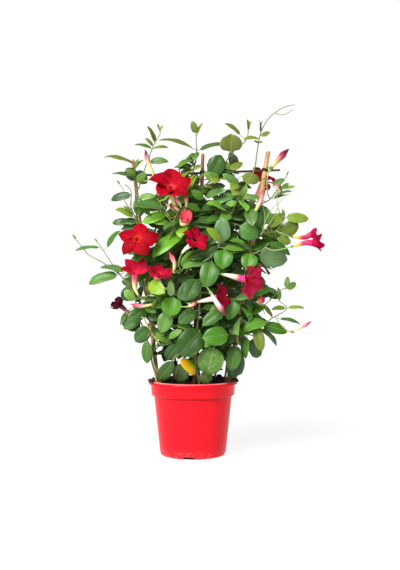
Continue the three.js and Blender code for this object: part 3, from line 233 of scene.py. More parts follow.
stem("front_vine", (12, -50), (2.3, 1.1), "6 170 -56, 6 210 -62, 8 240 -66, 12 280 -68, 18 330 -70, 32 368 -70, "
     "48 395 -68, 58 420 -62, 66 448 -54, 80 474 -46, 87 500 -40, 86 526 -36",
     "d 13 235 -27 187 48, h 6 274 -29 251 26, h 6 331 -12 295 32, d 36 368 25 318 36, b 60 391 56 354 36, "
     "s 56 406 56 454 32, l 54 408 25 433 16 -8, b 69 410 100 404 8, d 90 437 125 414 34, g 88 514 56 537 16, "
     "o 94 532 129 523 22, m 90 477 104 514 14, m 62 475 84 484 12, d 40 425 10 410 24 16, "
     "u 20 158 30 133 26 12")
stem("centre_low_shoot", "front_vine", (1.5, 1), "6 186 -59, -8 192 -68, -20 194 -74, -34 186 -76, -40 178 -74",
     "d -29 208 -52 180 26 14, m -38 176 -69 139 26, u -15 172 -31 136 32 4, k -24 180 6 151 16")
stem("front_low_right_shoot", "front_vine", (1.6, 1), "6 216 -62, 20 214 -74, 38 218 -78, 62 230 -76",
     "t 40 204 27 149 50, b 67 228 17 222 36")
stem("right_vine", (60, -20), (2.4, 1.3), "68 190 -26, 76 224 -28, 90 300 -28, 102 380 -28, 112 440 -26, "
     "118 488 -24",
     "g 92 260 84 228 10, d 98 348 69 340 20", fill=6)
stem("rim_shoot", "right_vine", (1.4, 1), "68 186 -26, 74 190 -42, 80 194 -54, 84 188 -60",
     "m 81 204 73 158 30, d 81 178 75 143 26 10", joined=True)
stem("centre_right_shoot", "right_vine", (1.5, 0.9), "88 288 -28, 80 294 -46, 68 296 -60, 54 290 -68",
     "d 81 299 67 256 30, g 54 289 38 256 26 6, d 60 278 17 245 24 12")
stem("right_drooping_shoot", "right_vine", (1.6, 0.9), "79 238 -28, 88 234 -46, 102 230 -56, 116 226 -58",
     "m 104 222 100 181 15 8, d 117 222 123 181 26")
stem("right_low_shoot", "right_vine", (1.6, 0.7), "84 266 -28, 94 258 -44, 114 246 -52, 132 247 -50, "
     "152 260 -46, 180 279 -42, 165 293 -42",
     "d 121 239 131 206 20, g 131 239 163 206 10, b 134 246 182 233 22, g 167 258 209 247 7, "
     "o 178 279 150 277 9, o 182 279 215 279 7, g 165 293 163 320 8")
stem("right_thin_shoot", "right_vine", (1.3, 0.7), "93 318 -28, 106 304 -46, 120 290 -54, 134 284 -56, "
     "148 295 -54, 165 312 -50, 179 318 -48",
     "o 134 283 154 258 8, g 179 318 182 340 11, g 180 316 198 328 13")
stem("right_middle_shoot", "right_vine", (1.7, 1), "101 372 -28, 110 378 -48, 122 386 -60, 136 394 -60, "
     "146 404 -56",
     "s 127 381 182 372 38, b 115 391 152 408 12 8, d 144 404 188 381 16 14, b 111 384 104 352 32")
stem("right_shoot", "right_vine", (1.7, 0.8), "109 424 -26, 120 424 -44, 140 424 -50, 158 427 -46, 170 440 -42, "
     "177 454 -40",
     "r 123 425 163 404 18 8, r 163 414 188 404 18 6, r 163 425 200 429 22, o 144 437 175 460 22, "
     "r 179 454 223 450 20, o 175 454 171 469 6, d 132 440 106 468 24, m 129 431 129 464 14 10")
stem("right_top_shoot", "right_vine", (1.3, 0.7), "117 476 -24, 132 480 -38, 148 488 -42, 157 500 -40, "
     "165 512 -38, 180 533 -36",
     "g 153 515 177 527 12, b 169 508 184 519 9, o 178 508 196 513 6, g 157 493 192 504 6, g 155 489 186 496 4, "
     "l 180 533 184 542 3")
stem("tendril_shoot", "front_vine", (1.3, 0.5), "87 494 -42, 98 508 -44, 117 544 -40, 123 579 -36, 127 605 -36, "
     "132 621 -36, 144 642 -36, 157 654 -36, 171 663 -36, 186 668 -36, 196 669 -36",
     "o 130 610 148 617 9, g 125 596 117 601 4, l 125 596 134 599 4, l 129 618 126 642 3, l 130 618 134 640 3")
stem("tendril_branch", "tendril_shoot", (0.7, 0.5), "157 654 -36, 171 650 -40, 182 654 -40, 192 660 -38", joined=True)
stem("back_left_vine", (-28, 36), (2.2, 1.2), "-38 200 40, -54 300 48, -62 400 44, -56 470 36, -46 518 28", fill=9)
stem("back_left_shoot", "back_left_vine", (1.5, 0.9), "-60 350 47, -80 362 54, -104 382 50, -122 408 40", fill=5)
stem("back_low_left_shoot", "back_left_vine", (1.5, 0.9), "-45 240 43, -64 234 56, -88 228 56", joined=True, fill=3)
stem("back_right_vine", (42, 34), (2.2, 1.2), "52 200 40, 68 300 48, 80 400 44, 84 470 36, 80 518 28", fill=9)
stem("back_right_shoot", "back_right_vine", (1.5, 0.9), "74 350 47, 96 362 54, 122 382 50, 142 408 40", fill=5)
stem("back_low_right_shoot", "back_right_vine", (1.5, 0.9), "58 240 43, 80 234 56, 104 228 56", joined=True, fill=3)
stem("back_middle_vine", (6, 52), (2.2, 1.2), "10 220 64, 4 320 72, 12 420 66, 18 490 48, 20 535 34", fill=9)

# ---- blooms and buds
#
# Colours are those of the petal, of the tube by the throat and of the tube by its foot. A bud's are those
# of its tip, middle and base.


def bloom(name, parent, route, facing, reach, lift, turn, colours, **looks):
    """A bloom by the route of its tube, with what sets its petals apart from the CAD node's plain ones."""
    plain = dict(
        inside="e2301e", turning=(0.2, 0.75), overlap=0.34, crumple=0.0, closed=0.0, fuller=1, rise=0,
        faces=facing, lifts=lift, turns=turn,
    )
    BLOOMS[name] = SimpleNamespace(
        parent=parent, route=rows(route), facing=facing, reach=reach, lift=lift,
        colours=[srgb(code) for code in colours.split()], **{**plain, **looks},
    )


def bud(name, parent, spikes, colours="be183c f6a0a6 e4e28c", longer=1, stouter=1, forward=0):
    """Buds that grow from one stalk, each by its girth, its length and its route."""
    BUDS[name] = SimpleNamespace(
        parent=parent, spikes=[(girth, length, rows(route)) for girth, length, route in spikes], shown=[],
        colours=[srgb(code) for code in colours.split()], longer=longer, stouter=stouter, forward=forward,
    )


bloom("bloom_upper_left", "upper_left_shoot", "-34 473 -58, -38 488 -66, -42 512 -78",
      (0.05, -0.72, 0.69), 43, 0.12, 0.3, "c80a24 de3c5a d6d66e",
      inside="f2544a", overlap=0.6, rise=0.2, turns=0.94)
bloom("bloom_left", "left_side_shoot", "-103 424 -40, -104 416 -54, -107 413 -84",
      (-0.08, -0.86, 0.5), 41, 0.1, 0.9, "be0822 de3c5a fadcbe",
      inside="e84a24", rise=-0.1, turns=0.8)
bloom("bloom_low_left", "left_low_shoot", "-80 305 -56, -98 298 -66, -111 316 -72, -111 347 -72",
      (0.1, -0.3, 0.95), 31, 0.4, 0.3, "e81e46 f05a82 f0ecaa",
      inside="f03c60", closed=0.8, fuller=1.15, rise=0.1, faces=(0.0, -0.62, 0.78))
bloom("bloom_centre_left", "centre_left_shoot", "-47 310 -74, -60 320 -78, -68 334 -80, -66 346 -82",
      (0.3, -0.45, 0.84), 31, 0.32, 0.5, "cc183c f06e8c f0ecb4")
bloom("bloom_young", "upper_left_shoot", "-24 454 -55, -22 440 -66, -10 450 -80",
      (0.2, -0.8, 0.55), 17, 0.8, 0.2, "ff7480 f0788c e2e28c",
      inside="f05a6e", overlap=0.9, crumple=0.35, closed=2.2, fuller=1.7, faces=(-0.3, -0.88, 0.37), lifts=0.5)
bloom("bloom_centre", "centre_shoot", "-22 350 -70, -28 362 -78, -20 386 -84, 4 411 -88",
      (0.4, -0.74, 0.54), 27, 0.3, 0.7, "ce0e32 f8cece f6f0ce",
      inside="820822", overlap=0.15, fuller=1.1)
bloom("bloom_right", "front_vine", "22 340 -70, 30 346 -84, 62 343 -90, 106 333 -90",
      (0.84, -0.5, -0.2), 41, 0.5, 0.4, "ee2a54 e83280 f6f4d6",
      turning=(0.35, 0.62), crumple=0.22, fuller=1.05, faces=(0.79, -0.57, -0.2))
bloom("bloom_low_right", "centre_left_shoot", "-12 304 -49, -14 290 -66, 12 292 -83, 50 300 -86",
      (0.88, -0.42, 0.22), 29, 0.6, 0.1, "b0123a f06096 fcf0d2",
      turning=(0.05, 0.4), crumple=0.2, fuller=1.1, faces=(0.8, -0.55, 0.22))
bloom("bloom_far_right", "right_shoot", "160 427 -46, 172 422 -52, 190 416 -48, 226 420 -44",
      (0.9, 0.1, 0.42), 19, 0.6, 0.6, "c41648 ce105c e8ce48",
      inside="64042a", turning=(0.5, 0.8), closed=0.3, fuller=1.2, faces=(0.97, -0.02, 0.16), lifts=1.0)
bloom("bloom_far_right_low", "right_middle_shoot", "138 396 -60, 156 390 -76, 196 399 -82, 230 404 -88",
      (0.86, -0.5, -0.08), 24, 0.5, 0.2, "e81a52 dc1260 e8ce48",
      inside="6e042a", turning=(0.5, 0.8), closed=0.3, fuller=1.25, faces=(0.89, -0.42, 0.16), lifts=0.95)
bloom("bloom_withered", "left_runner", "-102 256 -38, -124 268 -46, -140 284 -48",
      (-0.7, -0.35, 0.6), 15, 0.9, 0.4, "5c122c 601e32 966e50",
      inside="3c0c1e", overlap=0.8, crumple=0.9, closed=2.4, fuller=2.1, lifts=0.2)
bloom("bloom_behind_cane", "right_vine", "115 458 -25, 103 472 -10, 118 492 14, 138 524 26",
      (0.55, 0.2, 0.81), 25, 0.3, 0, "e81036 c4284c e28282",
      inside="6e0a1a", overlap=-0.1, crumple=0.15, fuller=1.8)
bud("bud_top_left", "top_left_shoot",
    [(3.9, 56, "-99 526 -33, -88 524 -46, -77 532 -50, -86 560 -50, -92 584 -50")],
    colours="800a30 f0beaa dede80", stouter=1.15)
bud("bud_top_right", "right_top_shoot",
    [(4.3, 46, "150 489 -42, 142 512 -52, 146 542 -52, 164 564 -52, 184 585 -52")],
    colours="680628 be2c54 d6cc7c", longer=1.15, stouter=1.4)
bud("bud_right_small", "right_top_shoot", [(1.9, 17, "158 501 -40, 166 498 -50, 163 508 -52, 158 521 -52")])
bud("bud_cluster", "upper_left_shoot", [
    (2.6, 26, "-31 464 -60, -22 462 -70, -14 472 -74, -13 498 -76"),
    (2.4, 26, "-22 462 -70, -24 476 -76, -36 494 -80"),
    (2.5, 20, "-22 462 -70, -28 468 -80, -42 477 -86"),
    (1.8, 14, "-22 462 -70, -36 466 -84, -54 482 -90"),
], longer=1.1, stouter=1.35)
bud("bud_left_low", "left_low_shoot",
    [(2.5, 38, "-68 301 -64, -76 288 -74, -98 283 -78, -121 287 -78")], longer=1.2, stouter=1.5)
bud("bud_centre", "centre_shoot",
    [(2.9, 38, "-29 346 -72, -36 348 -84, -36 366 -88, -46 387 -88")], longer=1.05, stouter=1.5)
bud("bud_centre_low", "centre_left_shoot",
    [(2, 20, "-25 304 -63, -26 284 -80, -10 282 -90, 9 290 -94")], longer=1.1, stouter=1.6)
bud("bud_hanging", "front_vine",
    [(5.2, 50, "17 322 -70, 26 320 -92, 44 292 -114, 62 266 -120")], colours="960e32 fac8d8 fceedc")
bud("bud_right_low", "right_low_shoot", [(3, 44, "156 263 -46, 170 246 -56, 186 234 -58, 208 242 -58, 228 254 -58")])
bud("bud_right_round", "right_thin_shoot",
    [(2.9, 11, "133 284 -56, 128 292 -68, 138 298 -72")], colours="be183c ce2e4c d2b46e", longer=1.6, stouter=2.4)
bud("bud_before_cane", "right_vine",
    [(4.2, 54, "111 434 -26, 108 442 -44, 118 462 -50, 130 488 -50, 138 512 -50")],
    colours="b01e3c f6bebe ced86e", longer=1.3, forward=16)

# ---- setting out


def place(entry):
    """A point in space from where the eye sees it in the front elevation, and its depth."""
    across, up, depth = entry
    scale = 1 - depth / EYE[1]
    return np.array((EYE[0] + (across - EYE[0]) * scale, depth, EYE[2] + (up - EYE[2]) * scale))


def seen_gap(points, across, up):
    """How far points lie from a place in the front elevation, as the eye sees them."""
    scale = 1 - points[..., 1] / EYE[1]
    x = EYE[0] + (points[..., 0] - EYE[0]) / scale
    z = EYE[2] + (points[..., 2] - EYE[2]) / scale
    return np.hypot(x - across, z - up)


def front_depth(across, up):
    x = (across - FRONT_MIDDLE[0]) / FRONT_HALF[0]
    z = (up - FRONT_MIDDLE[1]) / FRONT_HALF[1]
    return -FRONT_DEPTH * math.sqrt(max(FRONT_LEAST**2, 1 - x * x - z * z))


def random_stream(seed):
    state = (seed * 7919 + 12345) % 2147483647

    def draw():
        nonlocal state
        state = (state * 16807) % 2147483647
        return state / 2147483647

    return draw


def curve_point(points, position):
    """A centripetal Catmull-Rom curve, whose position counts its spans."""
    last = len(points) - 1
    span = min(int(position), last - 1)
    weight = position - span
    p1, p2 = points[span], points[span + 1]
    p0 = points[span - 1] if span > 0 else p1 * 2 - p2
    p3 = points[span + 2] if span + 2 <= last else p2 * 2 - p1
    d0, d1, d2 = (((b - a) @ (b - a)) ** 0.25 for a, b in ((p0, p1), (p1, p2), (p2, p3)))
    t1 = ((p1 - p0) / d0 - (p2 - p0) / (d0 + d1) + (p2 - p1) / d1) * d1
    t2 = ((p2 - p1) / d1 - (p3 - p1) / (d1 + d2) + (p3 - p2) / d2) * d1
    square = -3 * p1 + 3 * p2 - 2 * t1 - t2
    cube = 2 * p1 - 2 * p2 + t1 + t2
    return p1 + t1 * weight + square * weight**2 + cube * weight**3


def curve_through(points, step):
    centres = [points[0]]
    for i in range(len(points) - 1):
        count = max(1, int(np.linalg.norm(points[i + 1] - points[i]) / step + 0.5))
        centres.extend(curve_point(points, i + k / count) for k in range(1, count + 1))
    return centres


def along_axes(origin, *parts):
    """Points from an origin, by how far they lie along each axis."""
    return origin + sum(np.asarray(share)[..., None] * axis for axis, share in parts)


def line_of(centres, radii=(1, 1)):
    """A line with its points' distances along it, and a radius that changes evenly."""
    centres = np.array(centres)
    steps = np.linalg.norm(np.diff(centres, axis=0), axis=1)
    along = np.concatenate(([0.0], np.cumsum(steps)))
    return SimpleNamespace(
        centres=centres, along=along, length=along[-1], radii=mix(radii[0], radii[1], along / along[-1])
    )


def points_along(line, distances):
    i = np.clip(np.searchsorted(line.along, distances), 1, len(line.along) - 1)
    share = (distances - line.along[i - 1]) / (line.along[i] - line.along[i - 1])
    before, after = line.centres[i - 1], line.centres[i]
    return before + (after - before) * share[:, None], mix(line.radii[i - 1], line.radii[i], share)


def point_along(line, distance):
    points, radii = points_along(line, np.array((distance,)))
    i = min(max(int(np.searchsorted(line.along, distance)), 1), len(line.along) - 1)
    tangent = unit(line.centres[i] - line.centres[i - 1])
    return SimpleNamespace(point=points[0], tangent=tangent, radius=radii[0])


def nearest_along(line, across, up):
    distances = np.arange(1, line.length - 2 + 1e-9, 1.5)
    return point_along(line, distances[np.argmin(seen_gap(points_along(line, distances)[0], across, up))])


def closest_point(line, point):
    """The point of a line that is nearest to a point in space."""
    points = points_along(line, np.arange(0, line.length, 0.7))[0]
    return points[np.argmin(((points - point) ** 2).sum(1))]


def route_from(parent, entries, joined=False, share=1):
    """Points from a parent's middle where they are joined, or else from just off its side."""
    points = [place(entry) for entry in entries]
    origin = nearest_along(parent, *entries[0][:2])
    if joined:
        return [origin.point, *points[1:]]
    away = points[1] - origin.point
    away = unit(away - origin.tangent * (away @ origin.tangent))
    start = origin.point + away * (origin.radius * share + SEAT + 0.2)
    return [start, start + away * LEAD, *points[1:]]


def cane_axis(name, height):
    """A cane's middle and radius at a height."""
    foot, top, radii = CANES[name]
    share = (height - foot[1]) / (top[1] - foot[1])
    radius = mix(*radii, share)
    return np.array((mix(foot[0], top[0], share), -(radius + BAR_RADIUS + SEAT), height)), radius


def twine_points(radius, cane, low, high, turns, start):
    """Points of a stem that winds round a cane."""
    count = int(turns * 6 + 0.5)
    for i in range(count + 1):
        centre, cane_radius = cane_axis(cane, mix(low, high, i / count))
        angle = start + turns * FULL_TURN * i / count
        yield centre + np.array((math.cos(angle), math.sin(angle), 0)) * (cane_radius + radius + 1.6)


def node_of(name):
    return node_of(STEMS[name].parent) if STEMS[name].joined else name


lines, fine_lines = {}, {}
for name, parts in STEMS.items():
    foot = []
    if parts.rooted:
        x, y = parts.parent
        foot = [np.array((x, y, SOIL_TOP - 30.0))]
        points = [np.array((x, y, SOIL_TOP + 6.0))]
        points += twine_points(parts.radii[0], *parts.twine) if parts.twine else []
        points += [place(entry) for entry in parts.route]
    else:
        points = route_from(lines[parts.parent], parts.route, parts.joined, 0.8)
    lines[name] = line_of(foot + curve_through(points, STEM_STEP), parts.radii)
    if not parts.rooted:
        points[0] = closest_point(fine_lines[parts.parent], points[0])
    fine_lines[name] = line_of(foot + curve_through(points, 4), parts.radii)

# ---- blades


def blade_of(base, tip, face, half_width):
    """A blade bends evenly from base to tip in the plane of its direction and its face."""
    chord = np.linalg.norm(tip - base)
    direction = (tip - base) / chord
    normal = unit(face - direction * (face @ direction))
    length = chord * (BEND / 2) / math.sin(BEND / 2)
    return SimpleNamespace(
        base=base, direction=direction, normal=normal, side=np.cross(direction, normal),
        half_width=half_width, length=length,
    )


def blade_surface(blade, u, width, lift):
    """Points at u from base to tip, that far to the side of the midrib and above the blade's arc."""
    angle = BEND / 2 - BEND * u
    forward = blade.length / BEND * (math.sin(BEND / 2) - np.sin(angle)) - lift * np.sin(angle)
    rise = blade.length / BEND * (np.cos(angle) - math.cos(BEND / 2)) + lift * np.cos(angle)
    return along_axes(blade.base, (blade.direction, forward), (blade.normal, rise), (blade.side, width))


def blade_points(blade, u, v):
    half = blade.half_width * np.sin(math.pi * np.minimum(1, u) ** 0.8) ** 0.8
    return blade_surface(blade, u, v * half * math.cos(FOLD), np.abs(v) * half * math.sin(FOLD))


def drawn_leaf(line, setback, base_across, base_up, tip_across, tip_up, seen_width, layer=0):
    """A leaf from its row, turned about its midrib until it is seen as wide as the row says."""
    attach = nearest_along(line, base_across, base_up)
    tip_depth = front_depth(tip_across, tip_up) + layer + setback
    base = place((base_across, base_up, mix(attach.point[1], tip_depth, BASE_DEPTH)))
    tip = place((tip_across, tip_up, tip_depth))
    chord = np.linalg.norm(tip - base)
    direction = (tip - base) / chord
    true_width = max(seen_width, LEAST_WIDTH * chord)
    to_eye = EYE - base
    to_eye = unit(to_eye - direction * (to_eye @ direction))
    across = np.cross(direction, to_eye)
    roll = math.acos(min(1, seen_width / true_width)) * (-1 if across[2] < 0 else 1)
    face = to_eye * math.cos(roll) + across * math.sin(roll)
    return SimpleNamespace(attach=attach, blade=blade_of(base, tip, face, true_width / 2))


def ruled_leaf(line, distance, hand, random, shrink=1.0):
    attach = point_along(line, distance)
    outward = math.atan2(attach.point[1] - 8, attach.point[0] - BUSH_MIDDLE[0])
    azimuth = outward + hand * (0.1 + 2.4 * random())
    climb = -0.75 + 1.15 * random()
    size = (LEAF_LENGTH + LEAF_SPREAD * random()) * (0.75 if distance > line.length - 30 else 1) * shrink
    direction = unit(np.array((math.cos(azimuth), math.sin(azimuth), math.tan(climb))))
    face = np.array((math.cos(outward) * 0.6, math.sin(outward) * 0.6, 0.8))
    base = attach.point + direction * LEAF_STALK
    return SimpleNamespace(attach=attach, blade=blade_of(base, base + direction * size, face, size * LEAF_HALF))


# ---- clearance between neighbours

NODES = [*CANES, *BARS, *STEMS, *BLOOMS, *BUDS]
BALLS = 40000
balls = SimpleNamespace(points=np.empty((BALLS, 3)), radii=np.empty(BALLS), nodes=np.empty(BALLS, int), count=0)


def add_balls(points, radii, node):
    new = slice(balls.count, balls.count + len(points))
    balls.points[new], balls.radii[new], balls.nodes[new] = points, radii, NODES.index(node)
    balls.count = new.stop


def leaf_balls(leaf):
    """Balls over a blade and along its stalk."""
    blade = leaf.blade
    along_count = max(2, math.ceil(blade.length / ALONG_STEP))
    across_count = max(1, math.ceil(blade.half_width * 2 / ACROSS_STEP))
    i, j = np.meshgrid(np.arange(1, along_count + 1), np.arange(across_count + 1), indexing="ij")
    u = (0.12 + (0.88 * i) / along_count).ravel()
    points = blade_points(blade, u, (-1 + (2 * j) / across_count).ravel())
    radii = np.full(len(points), min(BLADE_BALL, blade.length * 0.12))
    start = leaf.attach.point
    count = math.ceil(np.linalg.norm(blade.base - start) / STALK_STEP)
    shares = np.arange(1, count + 1)[:, None] / count
    return np.vstack((points, start + (blade.base - start) * shares)), np.append(radii, np.full(count, STALK_BALL))


def touches(points, radii, node):
    """How many of a leaf's balls meet the pot, the soil or another ball."""
    from_axis = np.hypot(points[:, 0], points[:, 1])
    height = points[:, 2]
    in_pot = (from_axis < WITHIN_POT) & (height < SOIL_TOP + OVER_SOIL)
    on_lip = (from_axis >= WITHIN_POT) & (from_axis < WITHIN_LIP) & (height < POT_HEIGHT + OVER_LIP)
    others, other_radii = balls.points[: balls.count], balls.radii[: balls.count]
    same = balls.nodes[: balls.count] == NODES.index(node)
    near = np.all((others > points.min(0) - REACH) & (others < points.max(0) + REACH), axis=1)
    near &= ~same | (other_radii == BLADE_BALL)
    gaps = points[:, None] - others[near]
    reach = (radii[:, None] + other_radii[near]) * np.where(same[near], CLOSER, 1)
    return int(in_pot.sum() + on_lip.sum() + ((gaps**2).sum(2) < reach**2).sum())


for name, (foot, top, radii) in CANES.items():
    for height in range(SOIL_TOP, top[1] + 1, 5):
        centre, radius = cane_axis(name, height)
        add_balls([centre], radius + 2.5, name)
for name, ((x0, z0), (x1, z1)) in BARS.items():
    for x in range(x0, x1 + 1, 4):
        add_balls([(x, 0, mix(z0, z1, (x - x0) / (x1 - x0)))], BAR_RADIUS + 2, name)
for name in STEMS:
    centres, radii = points_along(lines[name], np.arange(0, lines[name].length + 1e-9, 3))
    add_balls(centres, radii + STEM_MARGIN, node_of(name))

# ---- blooms and buds, set out


def sections_of(line, sections):
    distances = np.array([max(0, line.length - s) for s, radius in sections])
    return points_along(line, distances)[0], np.array([radius for s, radius in sections])


def tube_sections(points, tube):
    line = line_of(curve_through(points, 5))
    last = min(line.length, tube[-1][0])
    sections = [(line.length, PEDICEL_RADIUS)]
    s = line.length - PEDICEL_STEP
    while s > last + PEDICEL_STEP / 3:
        sections.append((s, PEDICEL_RADIUS))
        s -= PEDICEL_STEP
    return sections_of(line, sections + [pair for pair in tube if pair[0] < line.length - 7][::-1])


def turn_corolla(parts, facing, lift):
    """Points a corolla along its facing, with petals that lift by an angle."""
    parts.lift = lift
    parts.facing = unit(np.array(facing, float))
    parts.first = unit(np.cross(parts.facing, (0, 0, 1)))
    parts.second = np.cross(parts.facing, parts.first)


def corolla_point(parts, angle, radius, raised=0.0):
    """A point of the corolla, which spreads from the throat like a dish with its rim curled back."""
    throat_radius = THROAT * parts.size
    outer = np.maximum(0, radius - throat_radius)
    share = outer / parts.reach
    flat = math.cos(parts.lift) * outer + np.minimum(radius, throat_radius)
    rise = math.sin(parts.lift) * outer + parts.reach * (0.18 * share - 0.3 * share**2) + raised
    across = (parts.first, np.cos(angle) * flat), (parts.second, np.sin(angle) * flat)
    return along_axes(parts.throat, *across, (parts.facing, rise))


for name, parts in BLOOMS.items():
    turn_corolla(parts, parts.facing, parts.lift)
    parts.size = min(1, 0.45 + parts.reach / 75)
    parts.tube = [(s * parts.size, radius * parts.size) for s, radius in TUBE]
    points = route_from(lines[parts.parent], parts.route)
    points.insert(-1, points[-1] - parts.facing * 12)
    centres, radii = tube_sections(points, parts.tube)
    parts.throat = centres[-1]
    points[0] = closest_point(fine_lines[parts.parent], points[0])
    parts.line = line_of(curve_through(points, 2))
    add_balls(centres, radii + BLOOM_MARGIN, name)
    for radius in range(10, parts.reach, 6):
        rim = around(math.ceil(FULL_TURN * radius / ACROSS_STEP))
        add_balls(corolla_point(parts, rim, radius), BLADE_BALL, name)

for name, parts in BUDS.items():
    for girth, length, route in parts.spikes:
        tube = [(share * length, radius * girth) for share, radius in BUD_SHAPE]
        if not parts.shown:
            points = route_from(lines[parts.parent], route)
            centres, radii = tube_sections(points, tube)
            fork = nearest_along(line_of(centres), *route[1][:2]).point
            points[0] = closest_point(fine_lines[parts.parent], points[0])
        else:
            points = [fork, *(place(entry) for entry in route[1:])]
            line = line_of(curve_through(points, 5))
            stalk = [(line.length, 0.6)]
            centres, radii = sections_of(line, stalk + [pair for pair in tube if pair[0] < line.length - 2][::-1])
        parts.shown.append((line_of(curve_through(points, 1.6)), tube))
        add_balls(centres, radii + BLOOM_MARGIN, name)

# ---- leaves, set out

# Where the first pair of a rooted stem and of a shoot stands, and how far from the end the last one does.
ROOTED_FIRST, SHOOT_FIRST, LAST_PAIR = 70, 22, 2
# A rule's tries for each leaf, and the foremost depth of the leaves that the scene adds.
TRIES, MORE_TRIES, MORE_FRONT, MORE_SEED = 30, 16, -80, 101
THIN_SHOOTS = ("tendril_shoot", "tendril_branch", "left_thin_shoot", "far_left_runner", "top_left_shoot")
SLIDES = (0, -7, 7, -14, 14, -21, 21, 28, -28, 36)
EXTRA_LEAVES = rows(
    "h -108 525 -129 548 23, h -111 541 -88 518 24, d -104 458 -107 491 19, d 63 551 25 553 40, "
    "s 88 195 83 146 28, g 96 440 128 420 20, h -88 279 -127 254 27, h -102 239 -138 262 29, "
    "d -84 241 -113 218 25, o 122 242 132 195 22, g -48 272 -61 231 29, h -31 277 -6 251 27, "
    "h -108 318 -138 297 29, d -40 214 -56 176 27, d -31 176 -67 139 23, h 13 329 -29 297 36, "
    "g 132 477 136 437 27, g 109 471 115 437 25, g 148 456 175 448 17, m 23 510 -13 494 23, "
    "b 19 485 -15 473 21, b -100 456 -104 489 17, d -63 433 -96 446 15, m -48 460 -88 446 17, "
    "d -121 444 -156 443 15, d -79 395 -109 368 23, d -83 352 -115 329 25"
)
INNER_LEAVES = rows(
    "h -46 378 -82 366 34 80, h 20 442 -12 430 34 80, d -20 436 -52 420 34 80, h 24 402 -8 388 32 80, "
    "h -16 396 -46 380 32 80, d -30 338 -64 322 34 80, h -76 342 -104 322 30 80, h 104 338 74 320 34 90, "
    "h 28 352 -4 336 34 80, d 98 376 66 362 34 90, h 16 304 -14 296 30 70, d 0 276 -30 262 30 70, "
    "e 140 421 174 440 25 8, o 132 411 172 398 23 8, e 170 420 202 444 29 -10, g 148 440 134 474 22 20"
)
# Places in the front elevation that the smaller leaves keep clear: across, up and radius.
CLEARINGS = rows("17 558 17, 56 562 19, 16 520 12, 61 510 15, -42 250 12, -72 206 12")
# Loose thin stalks: radius, then across and up for each point.
TENDRILS = rows(
    "0.9 -38 444 -54 462 -63 481 -69 490, 0.8 -38 442 -28 464 -14 477, 0.9 -36 440 -40 425 -48 413, "
    "0.8 -25 444 -13 460 -10 474, 0.8 -42 452 -58 474 -66 470, 1.4 112 478 122 492 132 506, "
    "1.0 132 420 138 457 133 478, 0.9 164 468 161 496 165 519, 0.8 136 437 152 470 186 500, "
    "0.9 128 420 150 446 166 480, 1.2 84 470 82 505 78 525 82 548, 1.5 -96 261 -82 236 -70 218 -56 203, "
    "1.4 -84 264 -74 246 -67 222, 1.2 -90 262 -78 248 -70 236, 0.9 -12 373 -10 355 -16 345"
)
leaves = []


def nearest_stem(across, up):
    stout = (name for name in STEMS if name not in THIN_SHOOTS)
    return min(stout, key=lambda name: seen_gap(lines[name].centres, across, up).min())


def draw_leaf(name, tone, row):
    """A leaf by its row, slid in depth to where it touches its neighbours least."""
    best = None
    for slide in SLIDES:
        leaf = drawn_leaf(lines[name], slide, *row)
        cloud = leaf_balls(leaf)
        count = touches(*cloud, node_of(name))
        if best is None or count < best[0]:
            best = count, leaf, cloud
        if count == 0:
            break
    add_balls(*best[2], node_of(name))
    leaves.append((node_of(name), name, best[1], tone))


def bush_measure(point):
    """0 in the middle of the bush, 1 at its skin."""
    return (((point - BUSH_MIDDLE) / BUSH_HALF) ** 2).sum()


def fill_stem(name, distances, random, attempts, front, shrink=1.0, margin=1.0):
    """Pairs of leaves by rule, wherever they are clear of what is there."""
    line, node = lines[name], node_of(name)
    for distance in distances:
        for hand in (-1, 1):
            for attempt in range(attempts):
                leaf = ruled_leaf(line, distance, hand, random, shrink)
                points, radii = leaf_balls(leaf)
                cloud = points, radii * margin
                tip = blade_points(leaf.blade, 1.0, 0.0)
                if margin < 1 and any(seen_gap((leaf.blade.base + tip) / 2, x, z) < r for x, z, r in CLEARINGS):
                    continue
                if bush_measure(tip) < 1.0 and tip[1] > front and not touches(*cloud, node):
                    add_balls(*cloud, node)
                    tones = "omog" if 475 < tip[2] < 530 and tip[0] > -95 else "dgmh"
                    leaves.append((node, name, leaf, tones[len(leaves) % 4]))
                    break


for name, parts in STEMS.items():
    for tone, *row in parts.leaves:
        draw_leaf(name, tone, row)

for index, (name, parts) in enumerate(STEMS.items()):
    first, length = ROOTED_FIRST if parts.rooted else SHOOT_FIRST, lines[name].length
    steps = [pair * (length - first) / (parts.fill - 1) for pair in range(parts.fill)]
    distances = [min(length - LAST_PAIR, first + step) for step in steps]
    fill_stem(name, distances, random_stream(index + 1), TRIES, BUSH_FRONT)

# Leaves that fill out the outline between the larger ones.
for tone, *row in EXTRA_LEAVES:
    draw_leaf(nearest_stem(*row[:2]), tone, row)

# More leaves between them, too many and too close for the CAD model: large ones, then small ones.
for shrink, step, margin in ((1.0, 21, 0.6), (0.7, 15, 0.5)):
    for index, name in enumerate(STEMS):
        if name not in THIN_SHOOTS:
            distances = np.arange(14, lines[name].length - 4, step)
            fill_stem(name, distances, random_stream(index + MORE_SEED), MORE_TRIES, MORE_FRONT, shrink, margin)

# Dark ones far inside, where light would come through, and a few at the right edge.
for tone, *row in INNER_LEAVES:
    draw_leaf(nearest_stem(*row[:2]), tone, row)

tendrils = []
for radius, *route in TENDRILS:
    route = list(zip(route[::2], route[1::2]))
    name = nearest_stem(*route[0])
    start = nearest_along(fine_lines[name], *route[0]).point
    points = [start] + [place((across, up, start[1] - 10)) for across, up in route]
    colour = mix(STEM_GREEN, srgb("b6b46e"), len(tendrils) % 3 / 2)
    tendrils.append((node_of(name), line_of(curve_through(points, 3), (radius, radius * 0.7)), colour))

# ---- materials


def opaque(code):
    return (*srgb(code), 1)


